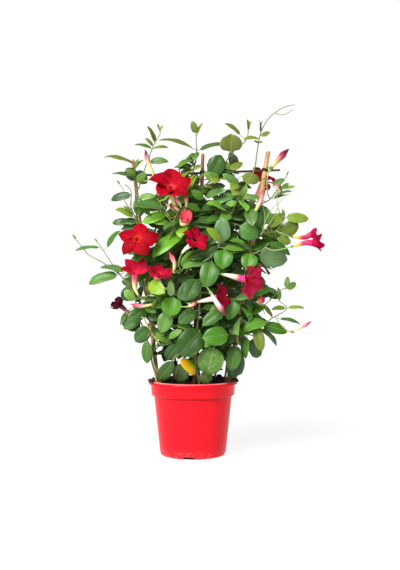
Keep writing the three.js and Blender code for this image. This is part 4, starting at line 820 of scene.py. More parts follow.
class Look:
    """A material or a world under construction. Each step adds a node and gives its output."""

    def __init__(self, owner, shader, **sockets):
        owner.use_nodes = True
        self.owner, self.tree = owner, owner.node_tree
        self.shader = self.tree.nodes[shader]
        self.set(**sockets)

    def feed(self, node, values):
        """Feeds a node's sockets from others, or sets them."""
        for socket, value in values.items():
            if isinstance(value, bpy.types.NodeSocket):
                self.tree.links.new(value, node.inputs[socket])
            else:
                node.inputs[socket].default_value = value

    def set(self, **sockets):
        self.feed(self.shader, {socket.replace("_", " "): value for socket, value in sockets.items()})

    def add(self, kind, values, output=0, **settings):
        node = self.tree.nodes.new("ShaderNode" + kind)
        for key, value in settings.items():
            setattr(node, key, value)
        self.feed(node, values)
        return node.outputs[output]

    def math(self, operation, *values):
        return self.add("Math", dict(enumerate(values)), operation=operation)

    def times(self, product, *others):
        for other in others:
            product = self.math("MULTIPLY", product, other)
        return product

    def ramp(self, value, low, high):
        """0 where value is at low, and 1 where it is at high."""
        return self.add("MapRange", {0: value, 1: low, 2: high}, interpolation_type="SMOOTHSTEP")

    def blend(self, amount, first, second, kind="MIX"):
        return self.add("Mix", {0: amount, 6: first, 7: second}, 2, data_type="RGBA", blend_type=kind)

    def darker(self, amount, tint, factor):
        """A tint that is multiplied by a factor where the amount is 1."""
        return self.blend(amount, tint, self.blend(1.0, tint, (*np.ones(3) * factor, 1), "MULTIPLY"))

    def measure(self, name):
        return self.add("Attribute", {}, "Fac", attribute_name=name)

    def tint(self):
        return self.add("Attribute", {}, "Color", attribute_name="tint")

    def speckle(self, scale, detail=2.0, vector=None):
        vector = self.add("TexCoord", {}, "Object") if vector is None else vector
        return self.add("TexNoise", {"Scale": scale, "Detail": detail, "Vector": vector}, "Fac")

    def streaks(self, scale, detail, across, *along):
        """Speckles drawn out along the piece."""
        vector = {0: self.times(self.measure("across"), across), 1: self.times(self.measure("along"), *along)}
        return self.speckle(scale, detail, self.add("CombineXYZ", vector))

    def bump(self, height, strength, distance):
        self.set(Normal=self.add("Bump", {"Strength": strength, "Distance": distance, "Height": height}))


def material(name, roughness, **sockets):
    return Look(bpy.data.materials.new(name), "Principled BSDF", Roughness=roughness, **sockets)


def leaf_material(name, roughness, vein_share, paler, gloss):
    """Midrib and about nine pairs of side veins, drawn in the blade's own measures."""
    look = material(name, roughness, Specular_IOR_Level=gloss)
    across = look.math("ABSOLUTE", look.measure("across"))
    bent = look.math("SUBTRACT", look.measure("along"), look.times(across, 0.17))
    phase = look.math("FRACT", look.times(bent, 9.5))
    side_veins = look.ramp(look.math("ABSOLUTE", look.math("SUBTRACT", phase, 0.5)), 0.38, 0.49)
    veins = look.math("MAXIMUM", look.ramp(across, 0.07, 0.025), look.times(side_veins, 0.28))
    tint = look.darker(look.times(look.ramp(look.speckle(90), 0.3, 0.75), 0.35), look.tint(), 0.62)
    pale = look.blend(0.5, tint, opaque("c4d28c"))
    if paler:
        tint = look.blend(0.4, tint, opaque("96b06e"))
    colour = look.blend(look.times(veins, vein_share, look.measure("veiny")), tint, pale)
    specks, patches = look.ramp(look.speckle(900), 0.54, 0.64), look.ramp(look.speckle(170), 0.3, 0.62)
    specks = look.times(specks, patches, look.measure("dust"))
    look.set(Base_Color=look.blend(specks, colour, opaque("a6b670")))
    look.bump(look.math("SUBTRACT", look.speckle(220), look.times(veins, 1.3)), 0.3, 0.0006)
    return look.owner


def darkened_by(look, pattern, high, depth, factor):
    amount = look.times(look.ramp(pattern, 0.35, high), depth)
    look.set(Base_Color=look.darker(amount, look.tint(), factor))


def streaked_material(name, roughness, depth, **sockets):
    """A tint with fine streaks along the piece."""
    look = material(name, roughness, **sockets)
    streaks = look.streaks(1.0, 3, 9)
    darkened_by(look, streaks, 0.75, depth, 0.45)
    look.bump(streaks, 0.25, 0.0005)
    return look.owner


def mottled_material(name, roughness, scale, depth, strength):
    """A tint with soft darker patches."""
    look = material(name, roughness)
    patches = look.speckle(scale, 5)
    darkened_by(look, patches, 0.7, depth, 0.35)
    look.bump(patches, strength, 0.001)
    return look.owner


def bamboo_material():
    """Straw-coloured, with long fibres and weathered streaks."""
    look = material("bamboo", 0.5)
    fibres = look.streaks(2.0, 4, 5, 3)
    stains = look.times(look.ramp(look.speckle(26, 3), 0.48, 0.72), 0.75)
    amount = look.math("MAXIMUM", stains, look.ramp(fibres, 0.45, 0.85))
    look.set(Base_Color=look.darker(amount, look.tint(), (0.34, 0.25, 0.16)))
    look.bump(fibres, 0.4, 0.0006)
    return look.owner


def plastic_material():
    """Satin moulded plastic with faint handling marks, and dust by the foot."""
    look = material("pot_plastic", 0.33, Specular_IOR_Level=0.14)
    colour = look.darker(look.times(look.ramp(look.speckle(9, 4), 0.3, 0.7), 0.5), look.tint(), 0.86)
    low = look.ramp(look.measure("along"), 0.16, 0.0)
    scuffs = look.times(look.ramp(look.speckle(230, 6), 0.4, 0.72), low, 0.45)
    look.set(Base_Color=look.blend(scuffs, colour, opaque("e27878")))
    look.bump(look.speckle(160, 3), 0.06, 0.0006)
    return look.owner


LEAF = leaf_material("leaf_top", 0.35, 0.5, False, 0.4)
LEAF_BACK = leaf_material("leaf_underside", 0.5, 0.4, True, 0.3)
STEM = mottled_material("stem_bark", 0.5, 60, 0.3, 0.2)
PETAL = streaked_material("petal_face", 0.6, 0.4, Specular_IOR_Level=0.05)
PETAL_BACK = streaked_material("petal_back", 0.6, 0.4, Specular_IOR_Level=0.05)
TUBE_SKIN = streaked_material("flower_tube", 0.45, 0.25)
BAMBOO = bamboo_material()
BAR_WOOD = mottled_material("bar_wood", 0.75, 70, 0.6, 0.4)
TWINE = mottled_material("tie_wire", 0.6, 120, 0.5, 0.3)
EARTH = mottled_material("peat", 0.95, 110, 0.7, 0.7)
PLASTIC = plastic_material()

# ---- drafts


def across_round(count):
    """1 at the first point of a ring, and less towards the opposite one, which has 0."""
    return np.abs(np.linspace(-1, 1, count, endpoint=False))


class Draft:
    """The points and faces of one piece, with measures and a tint for every point."""

    def __init__(self):
        self.points, self.tints, self.count = [], [], 0
        self.measures = {"along": [], "across": [], "dust": [], "veiny": []}
        self.faces, self.slots, self.finishes = [], [], []
        self.dusty, self.ribbed = 0.0, 1.0

    def add_points(self, points, along, across, tint):
        shape = points.shape[:-1]
        self.points.append(points.reshape(-1, 3))
        for held, value in zip(self.measures.values(), (along, across, self.dusty, self.ribbed)):
            held.append(np.broadcast_to(value, shape).ravel())
        self.tints.append(np.broadcast_to(tint, (*shape, 3)).reshape(-1, 3))
        index = self.count + np.arange(len(self.points[-1])).reshape(shape)
        self.count += index.size
        return index

    def add_faces(self, faces, finish, flip):
        if finish not in self.finishes:
            self.finishes.append(finish)
        self.faces.extend((faces[:, ::-1] if flip else faces).tolist())
        self.slots.extend([self.finishes.index(finish)] * len(faces))

    def sheet(self, points, finish, along, across, tint, wrap=False, flip=False):
        """Quads over a grid of points, rows by columns."""
        index = self.add_points(points, along, across, tint)
        grid = np.concatenate((index, index[:, :1]), axis=1) if wrap else index
        corners = (grid[:-1, :-1], grid[:-1, 1:], grid[1:, 1:], grid[1:, :-1])
        self.add_faces(np.stack(corners, axis=-1).reshape(-1, 4), finish, flip)
        return index

    def skin(self, points, finish, along, tint, first, last, across=None, flip=False):
        """A sheet over rings of points, closed at either end to a centre with its measure and tint."""
        across = across_round(points.shape[1]) if across is None else across
        index = self.sheet(points, finish, along, across, tint, wrap=True, flip=flip)
        for ring, end, turned in ((index[-1], last, flip), (index[0], first, not flip)):
            if end:
                centre, end_along, end_tint = end
                tip = self.add_points(np.asarray(centre)[None], end_along, 0.0, end_tint)[0]
                faces = np.stack((ring, np.roll(ring, -1), np.full(len(ring), tip)), axis=-1)
                self.add_faces(faces, finish, turned)

    def piece(self, name, slot, *nodes):
        mesh = bpy.data.meshes.new(name)
        mesh.from_pydata((np.concatenate(self.points) * MM).tolist(), [], self.faces)
        for key, values in self.measures.items():
            made = mesh.attributes.new(key, "FLOAT", "POINT")
            made.data.foreach_set("value", np.concatenate(values).astype(np.float32))
        tints = np.concatenate(self.tints)
        rgba = np.concatenate((tints, np.ones((len(tints), 1))), axis=1)
        colour = mesh.attributes.new("tint", "FLOAT_COLOR", "POINT")
        colour.data.foreach_set("color", rgba.astype(np.float32).ravel())
        for finish in self.finishes:
            mesh.materials.append(finish)
        mesh.polygons.foreach_set("material_index", self.slots)
        mesh.polygons.foreach_set("use_smooth", [True] * len(self.faces))
        piece = add_object(name, mesh)
        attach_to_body(piece, "root")
        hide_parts(*nodes)
        return piece


def add_object(name, data):
    made = bpy.data.objects.new(name, data)
    bpy.context.scene.collection.objects.link(made)
    return made


def tangents_of(centres):
    tangents = np.gradient(centres, axis=0)
    return tangents / np.linalg.norm(tangents, axis=1)[:, None]


def rings(centres, tangents, radii, side, angle):
    """Rings round a line, turned as little as can be. A radius is one for the ring, or one for each point."""
    made = []
    for centre, tangent, radius in zip(centres, tangents, radii):
        side = unit(side - tangent * (side @ tangent))
        made.append(centre + circle(angle, side, np.cross(tangent, side)) * radius[..., None])
    return np.array(made)


def tube_points(centres, radii, count):
    tangents = tangents_of(centres)
    return rings(centres, tangents, radii, unit(np.cross(FIRST_SIDE, tangents[0])), around(count))


def add_tube(draft, centres, radii, count, finish, tint, along=None):
    length = len(centres)
    along = np.linspace(0, 1, length) if along is None else along
    tint = np.broadcast_to(tint, (length, 3))
    first, last = ((centres[i], along[i], tint[i]) for i in (0, -1))
    points = tube_points(centres, np.broadcast_to(radii, length), count)
    draft.skin(points, finish, along[:, None], tint[:, None], first, last)


# ---- leaves and stems

# Patches of painted light and shade on the bush's leaves: middle and reach in the front elevation, and the factor
# there.
LIGHT_AND_SHADE_PATCHES = (
    ((-46, 425), (62, 122), (2.15, 1.75, 1.2)), ((96, 280), (40, 50), (1.4, 1.25, 1.4)),
    ((92, 477), (24, 26), (1.7, 1.4, 1.6)), ((-116, 462), (28, 100), (0.66, 0.66, 0.66)),
)
TOP_FACTOR = np.array((0.78, 0.66, 0.66))
PLAIN = np.ones(3)
# Tones of a leaf that has turned yellow, of those that get none of the painted light and shade of their place in the
# bush and of those that don't pale while they are small, and how dusty the leaves of some tones are.
YELLOWED, WITHOUT_PAINTED_SHADE, UNPALED = "k", "ktu", "kl"
DUST = {"t": 1.0, "u": 0.6, "h": 0.3}


def leaf_outline(u):
    """Half width of a broad leaf whose tip narrows to a short point."""
    return 1.03 * np.sin(math.pi * u**0.82) ** 0.52 * (1 - 0.45 * clamp((u - 0.86) / 0.14) ** 0.8)


def paint_light_and_shade(tint, middle):
    """Paints shade on a leaf's tint low down and deep inside the bush, light near its skin, and the painted light and
    shade of the patches.
    """
    tint = tint * mix(0.36, 1, smooth((middle[2] - 160) / 120))
    tint = tint * mix(0.42, 1.14, smooth((bush_measure(middle) - 0.12) / 0.5))
    for (across, up), (width, height), factor in LIGHT_AND_SHADE_PATCHES:
        near = math.exp(-(((middle[0] - across) / width) ** 2) - ((middle[2] - up) / height) ** 2)
        tint = tint * mix(PLAIN, np.array(factor), near)
    return tint


def add_leaf(draft, line, leaf, tone, luck):
    blade = leaf.blade
    reach = min(PETIOLE_RADIUS, leaf.attach.radius * 0.6, blade.length * 0.06)
    u = np.linspace(0.0, 1.0, int(min(18, max(8, blade.length / 3.6))) + 1)[:, None] ** 0.94
    v = np.linspace(-1, 1, 11 if blade.half_width > 8 else 7)[None]
    half_width = blade.half_width * (1.3 if tone == YELLOWED else 1)
    half = np.maximum(half_width * leaf_outline(u), np.where(u < 0.5, reach, 0.12))
    wave = luck.uniform(0.5, 1.0) * 0.09 * np.sin(FULL_TURN * (luck.uniform(1.2, 1.8) * u + luck.random()) + 1.5 * v)
    arch = 1.5 * np.abs(v) - luck.uniform(0.95, 1.5) * v**2
    lift = half * (math.sin(FOLD) * arch + wave * v**2)
    lift = lift - 0.05 * blade.length * clamp((u - 0.7) / 0.3) ** 2 * luck.uniform(0, 1.6)
    width = v * half * (0.985 - 0.05 * v**2)
    thickness = min(0.55, blade.length * 0.012) * (1 - v**4) * (1 - u**6) + 0.01
    tint = TONES[tone] * luck.uniform(1.0, 1.56) * np.array((luck.uniform(0.94, 1.12), 1, luck.uniform(0.72, 0.96)))
    middle = (blade.base + blade_points(blade, 1.0, 0.0)) / 2
    # Painted shade low down and deep inside the bush, and painted light near its skin and in the patches.
    if tone not in WITHOUT_PAINTED_SHADE:
        tint = paint_light_and_shade(tint, middle)
    tint = tint * mix(PLAIN, TOP_FACTOR, smooth((middle[2] - 490) / 60))
    if tone not in UNPALED:
        tint = mix(TONES["y"], tint, 0.35 + 0.65 * clamp((blade.length - 14) / 22))
    if tone == YELLOWED:
        ripe = clamp(1.4 * np.abs(v - 0.15) * (0.4 + u) + 0.35 * np.sin(5 * u + 2 * v))[..., None]
        tint = mix(srgb("fa960a"), TONES[YELLOWED], clamp(3 * np.abs(v))[..., None])
        tint = mix(tint, srgb("82a014"), ripe**2)
    draft.dusty, draft.ribbed = DUST.get(tone, 0.0), luck.uniform(0.2, 1.0)
    rib = reach * 0.7 * np.exp(-((v / 0.12) ** 2)) * (1 - u) ** 0.7
    draft.sheet(blade_surface(blade, u, width, lift + thickness / 2), LEAF, u, v, tint, flip=True)
    draft.sheet(blade_surface(blade, u, width, lift - thickness / 2 - rib), LEAF_BACK, u, v, tint)
    draft.dusty, draft.ribbed = 0.0, 1.0

    # The stalk leaves the stem straight and arrives along the midrib.
    start = closest_point(line, leaf.attach.point)
    inside, ahead = blade_surface(blade, np.array((0.04, 0.05)), 0, 0)
    length = np.linalg.norm(blade.base - start)
    bend = blade.base - unit(ahead - blade.base) * length * 0.45
    t = np.linspace(0, 1, max(4, int(length / 4)))[:, None]
    path = np.vstack(((1 - t) ** 2 * start + 2 * t * (1 - t) * bend + t**2 * blade.base, inside))
    # The stalk takes part of the leaf's tint, with its painted light and shade.
    stalk = mix(TONES["o"] if tone == YELLOWED else tint, STEM_GREEN, 0.7)
    add_tube(draft, path, np.linspace(reach, reach * 0.75, len(path)), 6, STEM, stalk)


def add_stem(draft, name, luck):
    """A stem, a little thicker where each leaf's stalk leaves it."""
    line = fine_lines[name]
    radii = line.radii * (1.3 if name in ("tendril_shoot", "tendril_branch") else 0.98)
    for _, grown, leaf, _ in leaves:
        if grown == name:
            gap = np.linalg.norm(line.centres - leaf.attach.point, axis=1)
            radii = np.maximum(radii, line.radii * (1 + 0.35 * np.exp(-((gap / 2.6) ** 2))))
    age = clamp(line.radii / 2.3)[:, None]
    tint = mix(srgb("92a25c"), srgb("767c42"), age) * luck.uniform(0.75, 0.95)
    add_tube(draft, line.centres, radii, 8, STEM, tint, line.along / 40)


for name in dict.fromkeys(map(node_of, STEMS)):
    luck, draft = Random(name), Draft()
    for other in STEMS:
        if node_of(other) == name:
            add_stem(draft, other, luck)
    for node, grown, leaf, tone in leaves:
        if node == name:
            add_leaf(draft, fine_lines[grown], leaf, tone, luck)
    for node, line, colour in tendrils:
        if node == name:
            add_tube(draft, line.centres, line.radii, 6, STEM, colour)
    draft.piece(f"{name}_foliage", "foliage", name)

# ---- blooms


def tube_radii(back, tube):
    stations, widths = zip(*tube)
    return np.where(back > stations[-1], PEDICEL_RADIUS, np.interp(back, stations, widths))


def add_sepals(draft, centre, direction, radius, length, luck):
    """Five narrow green sepals that hug the foot of a tube or bud."""
    side = unit(np.cross(direction, FIRST_SIDE))
    u, v = np.linspace(0, 1, 6)[:, None], np.linspace(-1, 1, 5)[None]
    for base in around(5):
        angle = base + v * 0.55 * (1 - u**1.5) + luck.uniform(-0.1, 0.1)
        reach = radius * (1 + 0.25 * np.sin(math.pi * u)) + 0.4 + luck.uniform(0, 0.8) * u**2
        for lift, finish in ((0.25, LEAF), (0.0, LEAF_BACK)):
            out = (reach + lift * (1 - v**2) * (1 - u))[..., None]
            points = centre + direction * (length * u)[..., None] + circle(angle, side, np.cross(direction, side)) * out
            draft.sheet(points, finish, u, v, TONES["o"], flip=finish is LEAF_BACK)


def add_bloom_tube(draft, parts, petal, near, far, throat, luck):
    """The tube from the throat back to the stem, and the throat inside it."""
    line, size = parts.line, parts.size
    back, centres = line.length - line.along[::-1], line.centres[::-1]
    tangents, angle = tangents_of(centres), around(RING)
    tangents[0] = -parts.facing
    points = rings(centres, tangents, tube_radii(back, parts.tube), parts.first, -angle)
    points[0] = corolla_point(parts, angle, np.full(RING, THROAT * size))
    start, end = parts.turning
    share = clamp(back / (50 * size))[:, None]
    tint = mix(near, far, smooth((share - start) / (end - start)))
    tint = np.where(back[:, None] > 54 * size, STEM_GREEN, tint)
    last = centres[-1], 1.0, STEM_GREEN
    draft.skin(points, TUBE_SKIN, back[:, None] / 40, tint[:, None], None, last, flip=True)
    if back[-1] > 50 * size:
        foot = np.argmin(np.abs(back - 55 * size))
        add_sepals(draft, centres[foot], -tangents[foot], 1.6 * size, 9 * size, luck)

    deep = back < 11 * size
    inner = points[deep]
    middle = inner.mean(axis=1, keepdims=True)
    inner = middle + (inner - middle) * np.linspace(1, 0.55, len(inner))[:, None, None]
    depth = (back[deep] / (11 * size))[:, None]
    # The rim of the throat runs from the petal's colour to the throat's; deeper in, the throat's colour is painted
    # darker, to 0.7 and to 0.4 at its end, as painted shade.
    rim = mix(mix(petal, throat, 0.75), throat, depth / 0.4)
    throat_tint_and_shade = np.where(depth < 0.4, rim, mix(throat, throat * 0.7, (depth - 0.4) / 0.6))
    draft.skin(inner, PETAL, depth, throat_tint_and_shade[:, None], None, (middle[-1, 0], 1.0, throat * 0.4))


def add_petal(draft, parts, base, petal, near, throat, luck):
    """A petal like the vane of a pinwheel, pointed off its middle and with one edge over its neighbour."""
    size, reach, closed, crumple = parts.size, parts.reach * parts.fuller, parts.closed, parts.crumple
    throat_radius = THROAT * size
    u, spread = np.linspace(0, 1, 16)[:, None], np.linspace(0, 1, 9) ** 1.3
    v = np.concatenate((LEAN - (1 + LEAN) * spread[::-1], LEAN + (1 - LEAN) * spread[1:]))[None]
    side = np.where(v < LEAN, (LEAN - v) / (1 + LEAN), (v - LEAN) / (1 - LEAN))
    extent = 1.0 - luck.uniform(0.5, 0.6) * side ** np.where(v < LEAN, 0.98, 0.82)
    half_angle = math.pi / PETALS * (1 + parts.overlap * clamp(u / 0.3))
    angle = base + (v - LEAN) * half_angle + 0.12 * u**2
    radius = (reach - throat_radius) * u * extent * luck.uniform(0.93, 1.03)
    phase = luck.uniform(0, 6)
    raised = reach * (
        0.045 * u**2 * np.sin(4.5 * v + phase) * luck.uniform(0.5, 1.3)
        - 0.09 * u**5 * luck.uniform(-0.2, 1.4) + parts.rise * u**1.5
        + 0.05 * v * clamp(u / 0.35)
        - 0.035 * u * np.exp(-(((v - LEAN * u) / 0.12) ** 2))
        + 0.22 * crumple * u * np.sin(7 * v + phase) * np.cos(3 * u + phase)
    )
    radius = radius * (1 - crumple * 0.12 * u * (1 + np.sin(5 * v + phase)))
    if closed:
        turn = closed * radius / reach
        raised = raised * 0.7 + reach / closed * (1 - np.cos(turn))
        radius = reach / closed * np.sin(turn)
    # The petal's foot reaches a little way down the throat, which narrows it.
    foot = clamp(1 - u / 0.1)
    raised = raised - 2.5 * size * foot
    radius = throat_radius * (1 - u * min(1, closed / 2.6)) * (1 - 0.4 * foot) + radius
    thickness = 0.5 * (1 - np.abs(v) ** 6) * (1 - u**6) * np.minimum(1, u * 6) + 0.01
    front, behind = (corolla_point(parts, angle, radius, raised - depth) for depth in (0, thickness))
    tone = petal * 0.84 * luck.uniform(0.86, 1.1)
    # Painted shade: darker towards the tip in waves, towards the edge of the wider half, and along the crease from the
    # foot to the point.
    petal_painted_shade = 1 - 0.38 * u * (0.5 + 0.5 * np.sin(3 * v + phase)) - 0.3 * clamp((side - 0.55) / 0.45) * (v < LEAN)
    petal_painted_shade = petal_painted_shade * (1 - 0.45 * np.exp(-(((v - LEAN * u) / 0.07) ** 2)) * np.sqrt(u))
    tone = mix(tone * petal_painted_shade[..., None], throat, foot[..., None] * 0.6)
    draft.sheet(front, PETAL, u, v, tone, flip=True)
    draft.sheet(behind, PETAL_BACK, u, v, mix(tone, near, clamp(0.7 - u)[..., None] * 0.6))


for name, parts in BLOOMS.items():
    luck, draft = Random(name), Draft()
    turn_corolla(parts, parts.faces, parts.lifts)
    petal, near, far = parts.colours
    throat = srgb(parts.inside)
    add_bloom_tube(draft, parts, petal, near, far, throat, luck)
    for base in around(PETALS):
        add_petal(draft, parts, parts.turns + base, petal, near, throat, luck)
    draft.piece(f"{name}_flower", "withered_petal" if name == "bloom_withered" else "petal", name)

# ---- buds


def add_bud(draft, line, tube, colours, luck):
    """A furled bud, whose petals wind round it as stripes and flutes."""
    tip, middle, base = colours
    back, length = line.length - line.along, tube[-2][0]
    radii = tube_radii(back, tube)
    share = clamp(back / length)[:, None]
    flutes = np.cos(PETALS * (around(RING) - 2.6 * (1 - share)))
    depth = 0.16 * clamp(1.15 - share) * (share > 0.02)
    points = tube_points(line.centres, radii[:, None] * (1 + depth * flutes), RING)
    tint = mix(mix(tip, middle, clamp((share - 0.14) / 0.32)), base, clamp((share - 0.4) / 0.3))[:, None]
    tint = mix(tint, tip * 0.8, clamp(0.7 * flutes * (1 - share))[..., None] * 0.7)
    tint = np.where((back > length * 1.01)[:, None, None], STEM_GREEN, tint)
    first, last = (line.centres[0], 1.0, STEM_GREEN), (line.centres[-1], 0.0, tip)
    draft.skin(points, TUBE_SKIN, back[:, None] / 40, tint, first, last)
    foot = int(np.argmin(np.abs(back - length)))
    if 0 < foot < len(back) - 1:
        direction = unit(line.centres[foot + 1] - line.centres[foot - 1])
        add_sepals(draft, line.centres[foot], direction, radii[foot] * 0.9, min(8, length * 0.22), luck)


for name, parts in BUDS.items():
    luck, draft = Random(name), Draft()
    for line, tube in parts.shown:
        tube = [(s * parts.longer, radius * parts.stouter) for s, radius in tube]
        line.centres[:, 1] -= parts.forward * clamp(line.along / 25)
        add_bud(draft, line, tube, parts.colours, luck)
    draft.piece(f"{name}_bud", "bud", name)

# ---- pot


def sharpen(mesh, degrees):
    """Marks the edges that turn more than this as sharp, and shades the rest smooth."""
    shape = bmesh.new()
    shape.from_mesh(mesh)
    for edge in shape.edges:
        edge.smooth = len(edge.link_faces) == 2 and edge.calc_face_angle(0) < math.radians(degrees)
    shape.to_mesh(mesh)
    shape.free()


def rough(x, y, z):
    return noise.noise(Vector((x, y, z)))


POT_COLUMNS = 144
# Rows of the pot's profile: its foot, under the collar, the lip's side and top, and the last one outside.
FOOT, UNDER_COLLAR, LIP_SIDE, LIP_TOP, OUTSIDE = slice(0, 3), slice(7, 10), slice(15, 17), slice(17, 19), 18


def pot_piece():
    base, wall, collar, lip, top = BASE_RADIUS, WALL_TOP_RADIUS, COLLAR_RADIUS, LIP_RADIUS, POT_HEIGHT
    profile = np.array((
        (base - 5, 0), (base - 2.5, 0.3), (base - 0.8, 1.8), (base, 5.4), (base + 0.3, 8), (wall - 0.7, STEP - 7),
        (wall - 0.2, STEP - 3), (wall, STEP - 1.5), (wall + 0.6, STEP - 0.4), (collar - 0.7, STEP + 1.3),
        (collar, STEP + 2.6), (collar + 1, COLLAR_TOP - 0.8), (collar + 1.4, COLLAR_TOP), (lip - 1, COLLAR_TOP + 0.6),
        (lip - 0.2, COLLAR_TOP + 1.2), (lip, COLLAR_TOP + 2.2), (lip - 0.5, top - 2.6), (lip - 1.3, top - 0.9),
        (lip - 2.6, top), (lip - 3.9, top - 0.5), (collar + 1 - WALL, COLLAR_TOP - 1), (collar - WALL, STEP + 2),
        (wall - WALL, STEP - 1), (base - WALL - 0.4, 10), (base - 7, 7.4),
    ))
    # The drain notches step up out of the foot between close pairs of columns.
    sides = [math.atan2(-base, NOTCH_OFFSET + half * NOTCH_WIDTH) for half in (-0.5, 0.5)]
    seams = [(turn + side + nudge) % FULL_TURN for turn in around(NOTCH_COUNT) for side in sides for nudge in SEAM]
    even = [a for a in around(POT_COLUMNS) if min(abs(a - seam) for seam in seams) > 0.012]
    angle = np.array(sorted(even + seams))
    quarter = math.pi / 2
    gap = (angle - math.atan2(-base, NOTCH_OFFSET) + quarter / 2) % quarter - quarter / 2
    notched = np.abs(gap) < (sides[1] - sides[0]) / 2
    radii, heights = (values[:, None] + 0 * angle for values in profile.T)
    radii[:4, notched] = base - np.array((6.2, 6.2, 6.2, 0.1))[:, None]
    heights[:4, notched] = np.array((0, 2, NOTCH_HEIGHT, NOTCH_HEIGHT))[:, None]
    points = np.stack((np.cos(angle) * radii, np.sin(angle) * radii, heights), axis=-1)

    # Its inside is painted near black, partly a soil stain and partly painted shade, the top of its lip is painted pale
    # as a highlight, and the hollow under the collar gets painted shade.
    red, stain_and_shade = srgb("f21424"), srgb("180909")
    tint = mix(red, stain_and_shade, clamp(np.arange(len(profile)) - OUTSIDE)[:, None])[:, None] + 0 * points
    tint[UNDER_COLLAR] *= 0.62
    # A painted highlight along the top of the lip, broken up by noise.
    painted_highlight = np.array([0.26 + 0.5 * rough(math.cos(a) * 2.2, math.sin(a) * 2.2, 1) for a in angle])
    tint[LIP_TOP] = mix(tint[LIP_TOP], srgb("ffbebe"), np.clip(painted_highlight, 0.04, 0.5)[:, None])
    # Painted shade on the lip's side, below the painted highlight.
    tint[LIP_SIDE] *= 0.85
    # The drain notches' faces are painted near black: painted shade in the recess.
    tint[FOOT, notched] = stain_and_shade
    draft = Draft()
    across, first, last = np.abs(angle / math.pi - 1), ((0, 0, 0), 0.0, red), ((0, 0, 4.6), 0.0, stain_and_shade)
    draft.skin(points, PLASTIC, heights / POT_HEIGHT, tint, first, last, across)
    sharpen(draft.piece("pot_shell", "pot", "pot").data, 40)


pot_piece()

# ---- soil


SOIL_COLUMNS, SOIL_ROWS = 120, 44
CRUMBS, FRONT_CRUMBS, SPILT_CRUMBS = 420, 46, 130


def polar(angle, reach):
    return math.cos(angle) * reach, math.sin(angle) * reach


def add_crumb(draft, centre, radius, flat, luck, tint):
    """A rough pebble of soil or bark."""
    height, angle = np.linspace(0.15, math.pi - 0.15, 6)[:, None], around(8)[None]
    reach = radius * np.array([[luck.uniform(0.72, 1.2) for j in range(8)] for i in range(6)])
    x = np.sin(height) * np.cos(angle) * reach * luck.uniform(0.7, 1.5)
    y = np.sin(height) * np.sin(angle) * reach
    c, s = polar(luck.uniform(0, 6), 1)
    points = np.stack((x * c - y * s, x * s + y * c, np.cos(height) * reach * flat), axis=-1) + centre
    first, last = ((points[i].mean(axis=0), 0.5, tint) for i in (0, -1))
    draft.skin(points, EARTH, 0.5, tint, first, last, 0.5, flip=True)


def soil_height(x, y):
    lumps = rough(x * 0.045, y * 0.045, 3) * 3.2 + rough(x * 0.22, y * 0.22, 9) * 1.7
    clods = math.sin(x * 0.31 + 1) * math.cos(y * 0.27) + math.sin(x * 0.13 - y * 0.19)
    banked = 6.5 * smooth((math.hypot(x, y) - 36) / 36) * mix(0.25, 1, smooth((y + 30) / 50))
    return SOIL_TOP + 0.9 * clods + lumps * 0.6 + banked


def soil_piece():
    luck, draft = Random(41), Draft()
    dark, inner = srgb("221914"), COLLAR_RADIUS - WALL - SEAT
    sides = (
        (BASE_RADIUS - 9, 8.0), (BASE_RADIUS - WALL - 2.2, 12), (WALL_TOP_RADIUS - WALL - 0.5, STEP - 1.5),
        (inner, STEP + 4), (inner, SOIL_TOP - 4),
    )
    grid = [[(*polar(a, reach), height) for a in around(SOIL_COLUMNS)] for reach, height in sides]
    for reach in np.linspace(1.5, inner - 0.2, SOIL_ROWS)[::-1]:
        dip = 2.5 * max(0, (reach - 70) / 8) ** 2
        ring = (polar(a, reach) for a in around(SOIL_COLUMNS))
        grid.append([(x, y, soil_height(x, y) - dip) for x, y in ring])
    first, last = ((0, 0, 8.0), 0.5, dark), ((0, 0, soil_height(0, 0)), 0.5, dark)
    draft.skin(np.array(grid), EARTH, 0.5, dark, first, last, 0.5)

    def crumb_on_soil(x, y, radius, sunk, flat, tint):
        add_crumb(draft, (x, y, soil_height(x, y) + radius * sunk), radius, flat, luck, tint)

    for i in range(CRUMBS):
        x, y = polar(luck.uniform(0, FULL_TURN), 76 * math.sqrt(luck.random()))
        radius = luck.choice((1.2, 1.6, 2.2, 3.0))
        crumb_on_soil(x, y, radius, 0.2, 0.7, mix(dark, srgb("604832"), luck.random() ** 2) * luck.uniform(0.7, 1.3))
    for i in range(FRONT_CRUMBS):
        x, y = luck.uniform(-70, 74), luck.uniform(-66, -30)
        if math.hypot(x, y) < 74:
            crumb_on_soil(x, y, luck.uniform(2.2, 4.2), 0.6, 0.75, dark * luck.uniform(0.8, 1.5))
    # Spilt crumbs along the rim, thickest at the right and left.
    for i in range(SPILT_CRUMBS):
        right, left = luck.gauss(-0.22, 0.26), luck.gauss(math.pi + 0.04, 0.16)
        a = luck.choice((right, right, left, luck.uniform(0, math.pi)))
        reach, radius = luck.uniform(78, 86), luck.uniform(0.8, 3.4)
        height = POT_HEIGHT - 0.3 + (radius * 0.5 if 81 < reach < 84 else luck.uniform(-2.5, 0))
        tint = mix(dark, srgb("7a3e32"), luck.random() ** 2)
        add_crumb(draft, (*polar(a, reach), height), radius, 0.7, luck, tint)
    add_crumb(draft, (68, -40, 139), 3.2, 0.6, luck, srgb("ce9864"))
    draft.piece("soil_bed", "soil", "soil")


soil_piece()

# ---- canes, crossbars and ties


BORE_DEPTH, TIE_TURNS, WIRE_RADIUS = 5, 4, 0.72


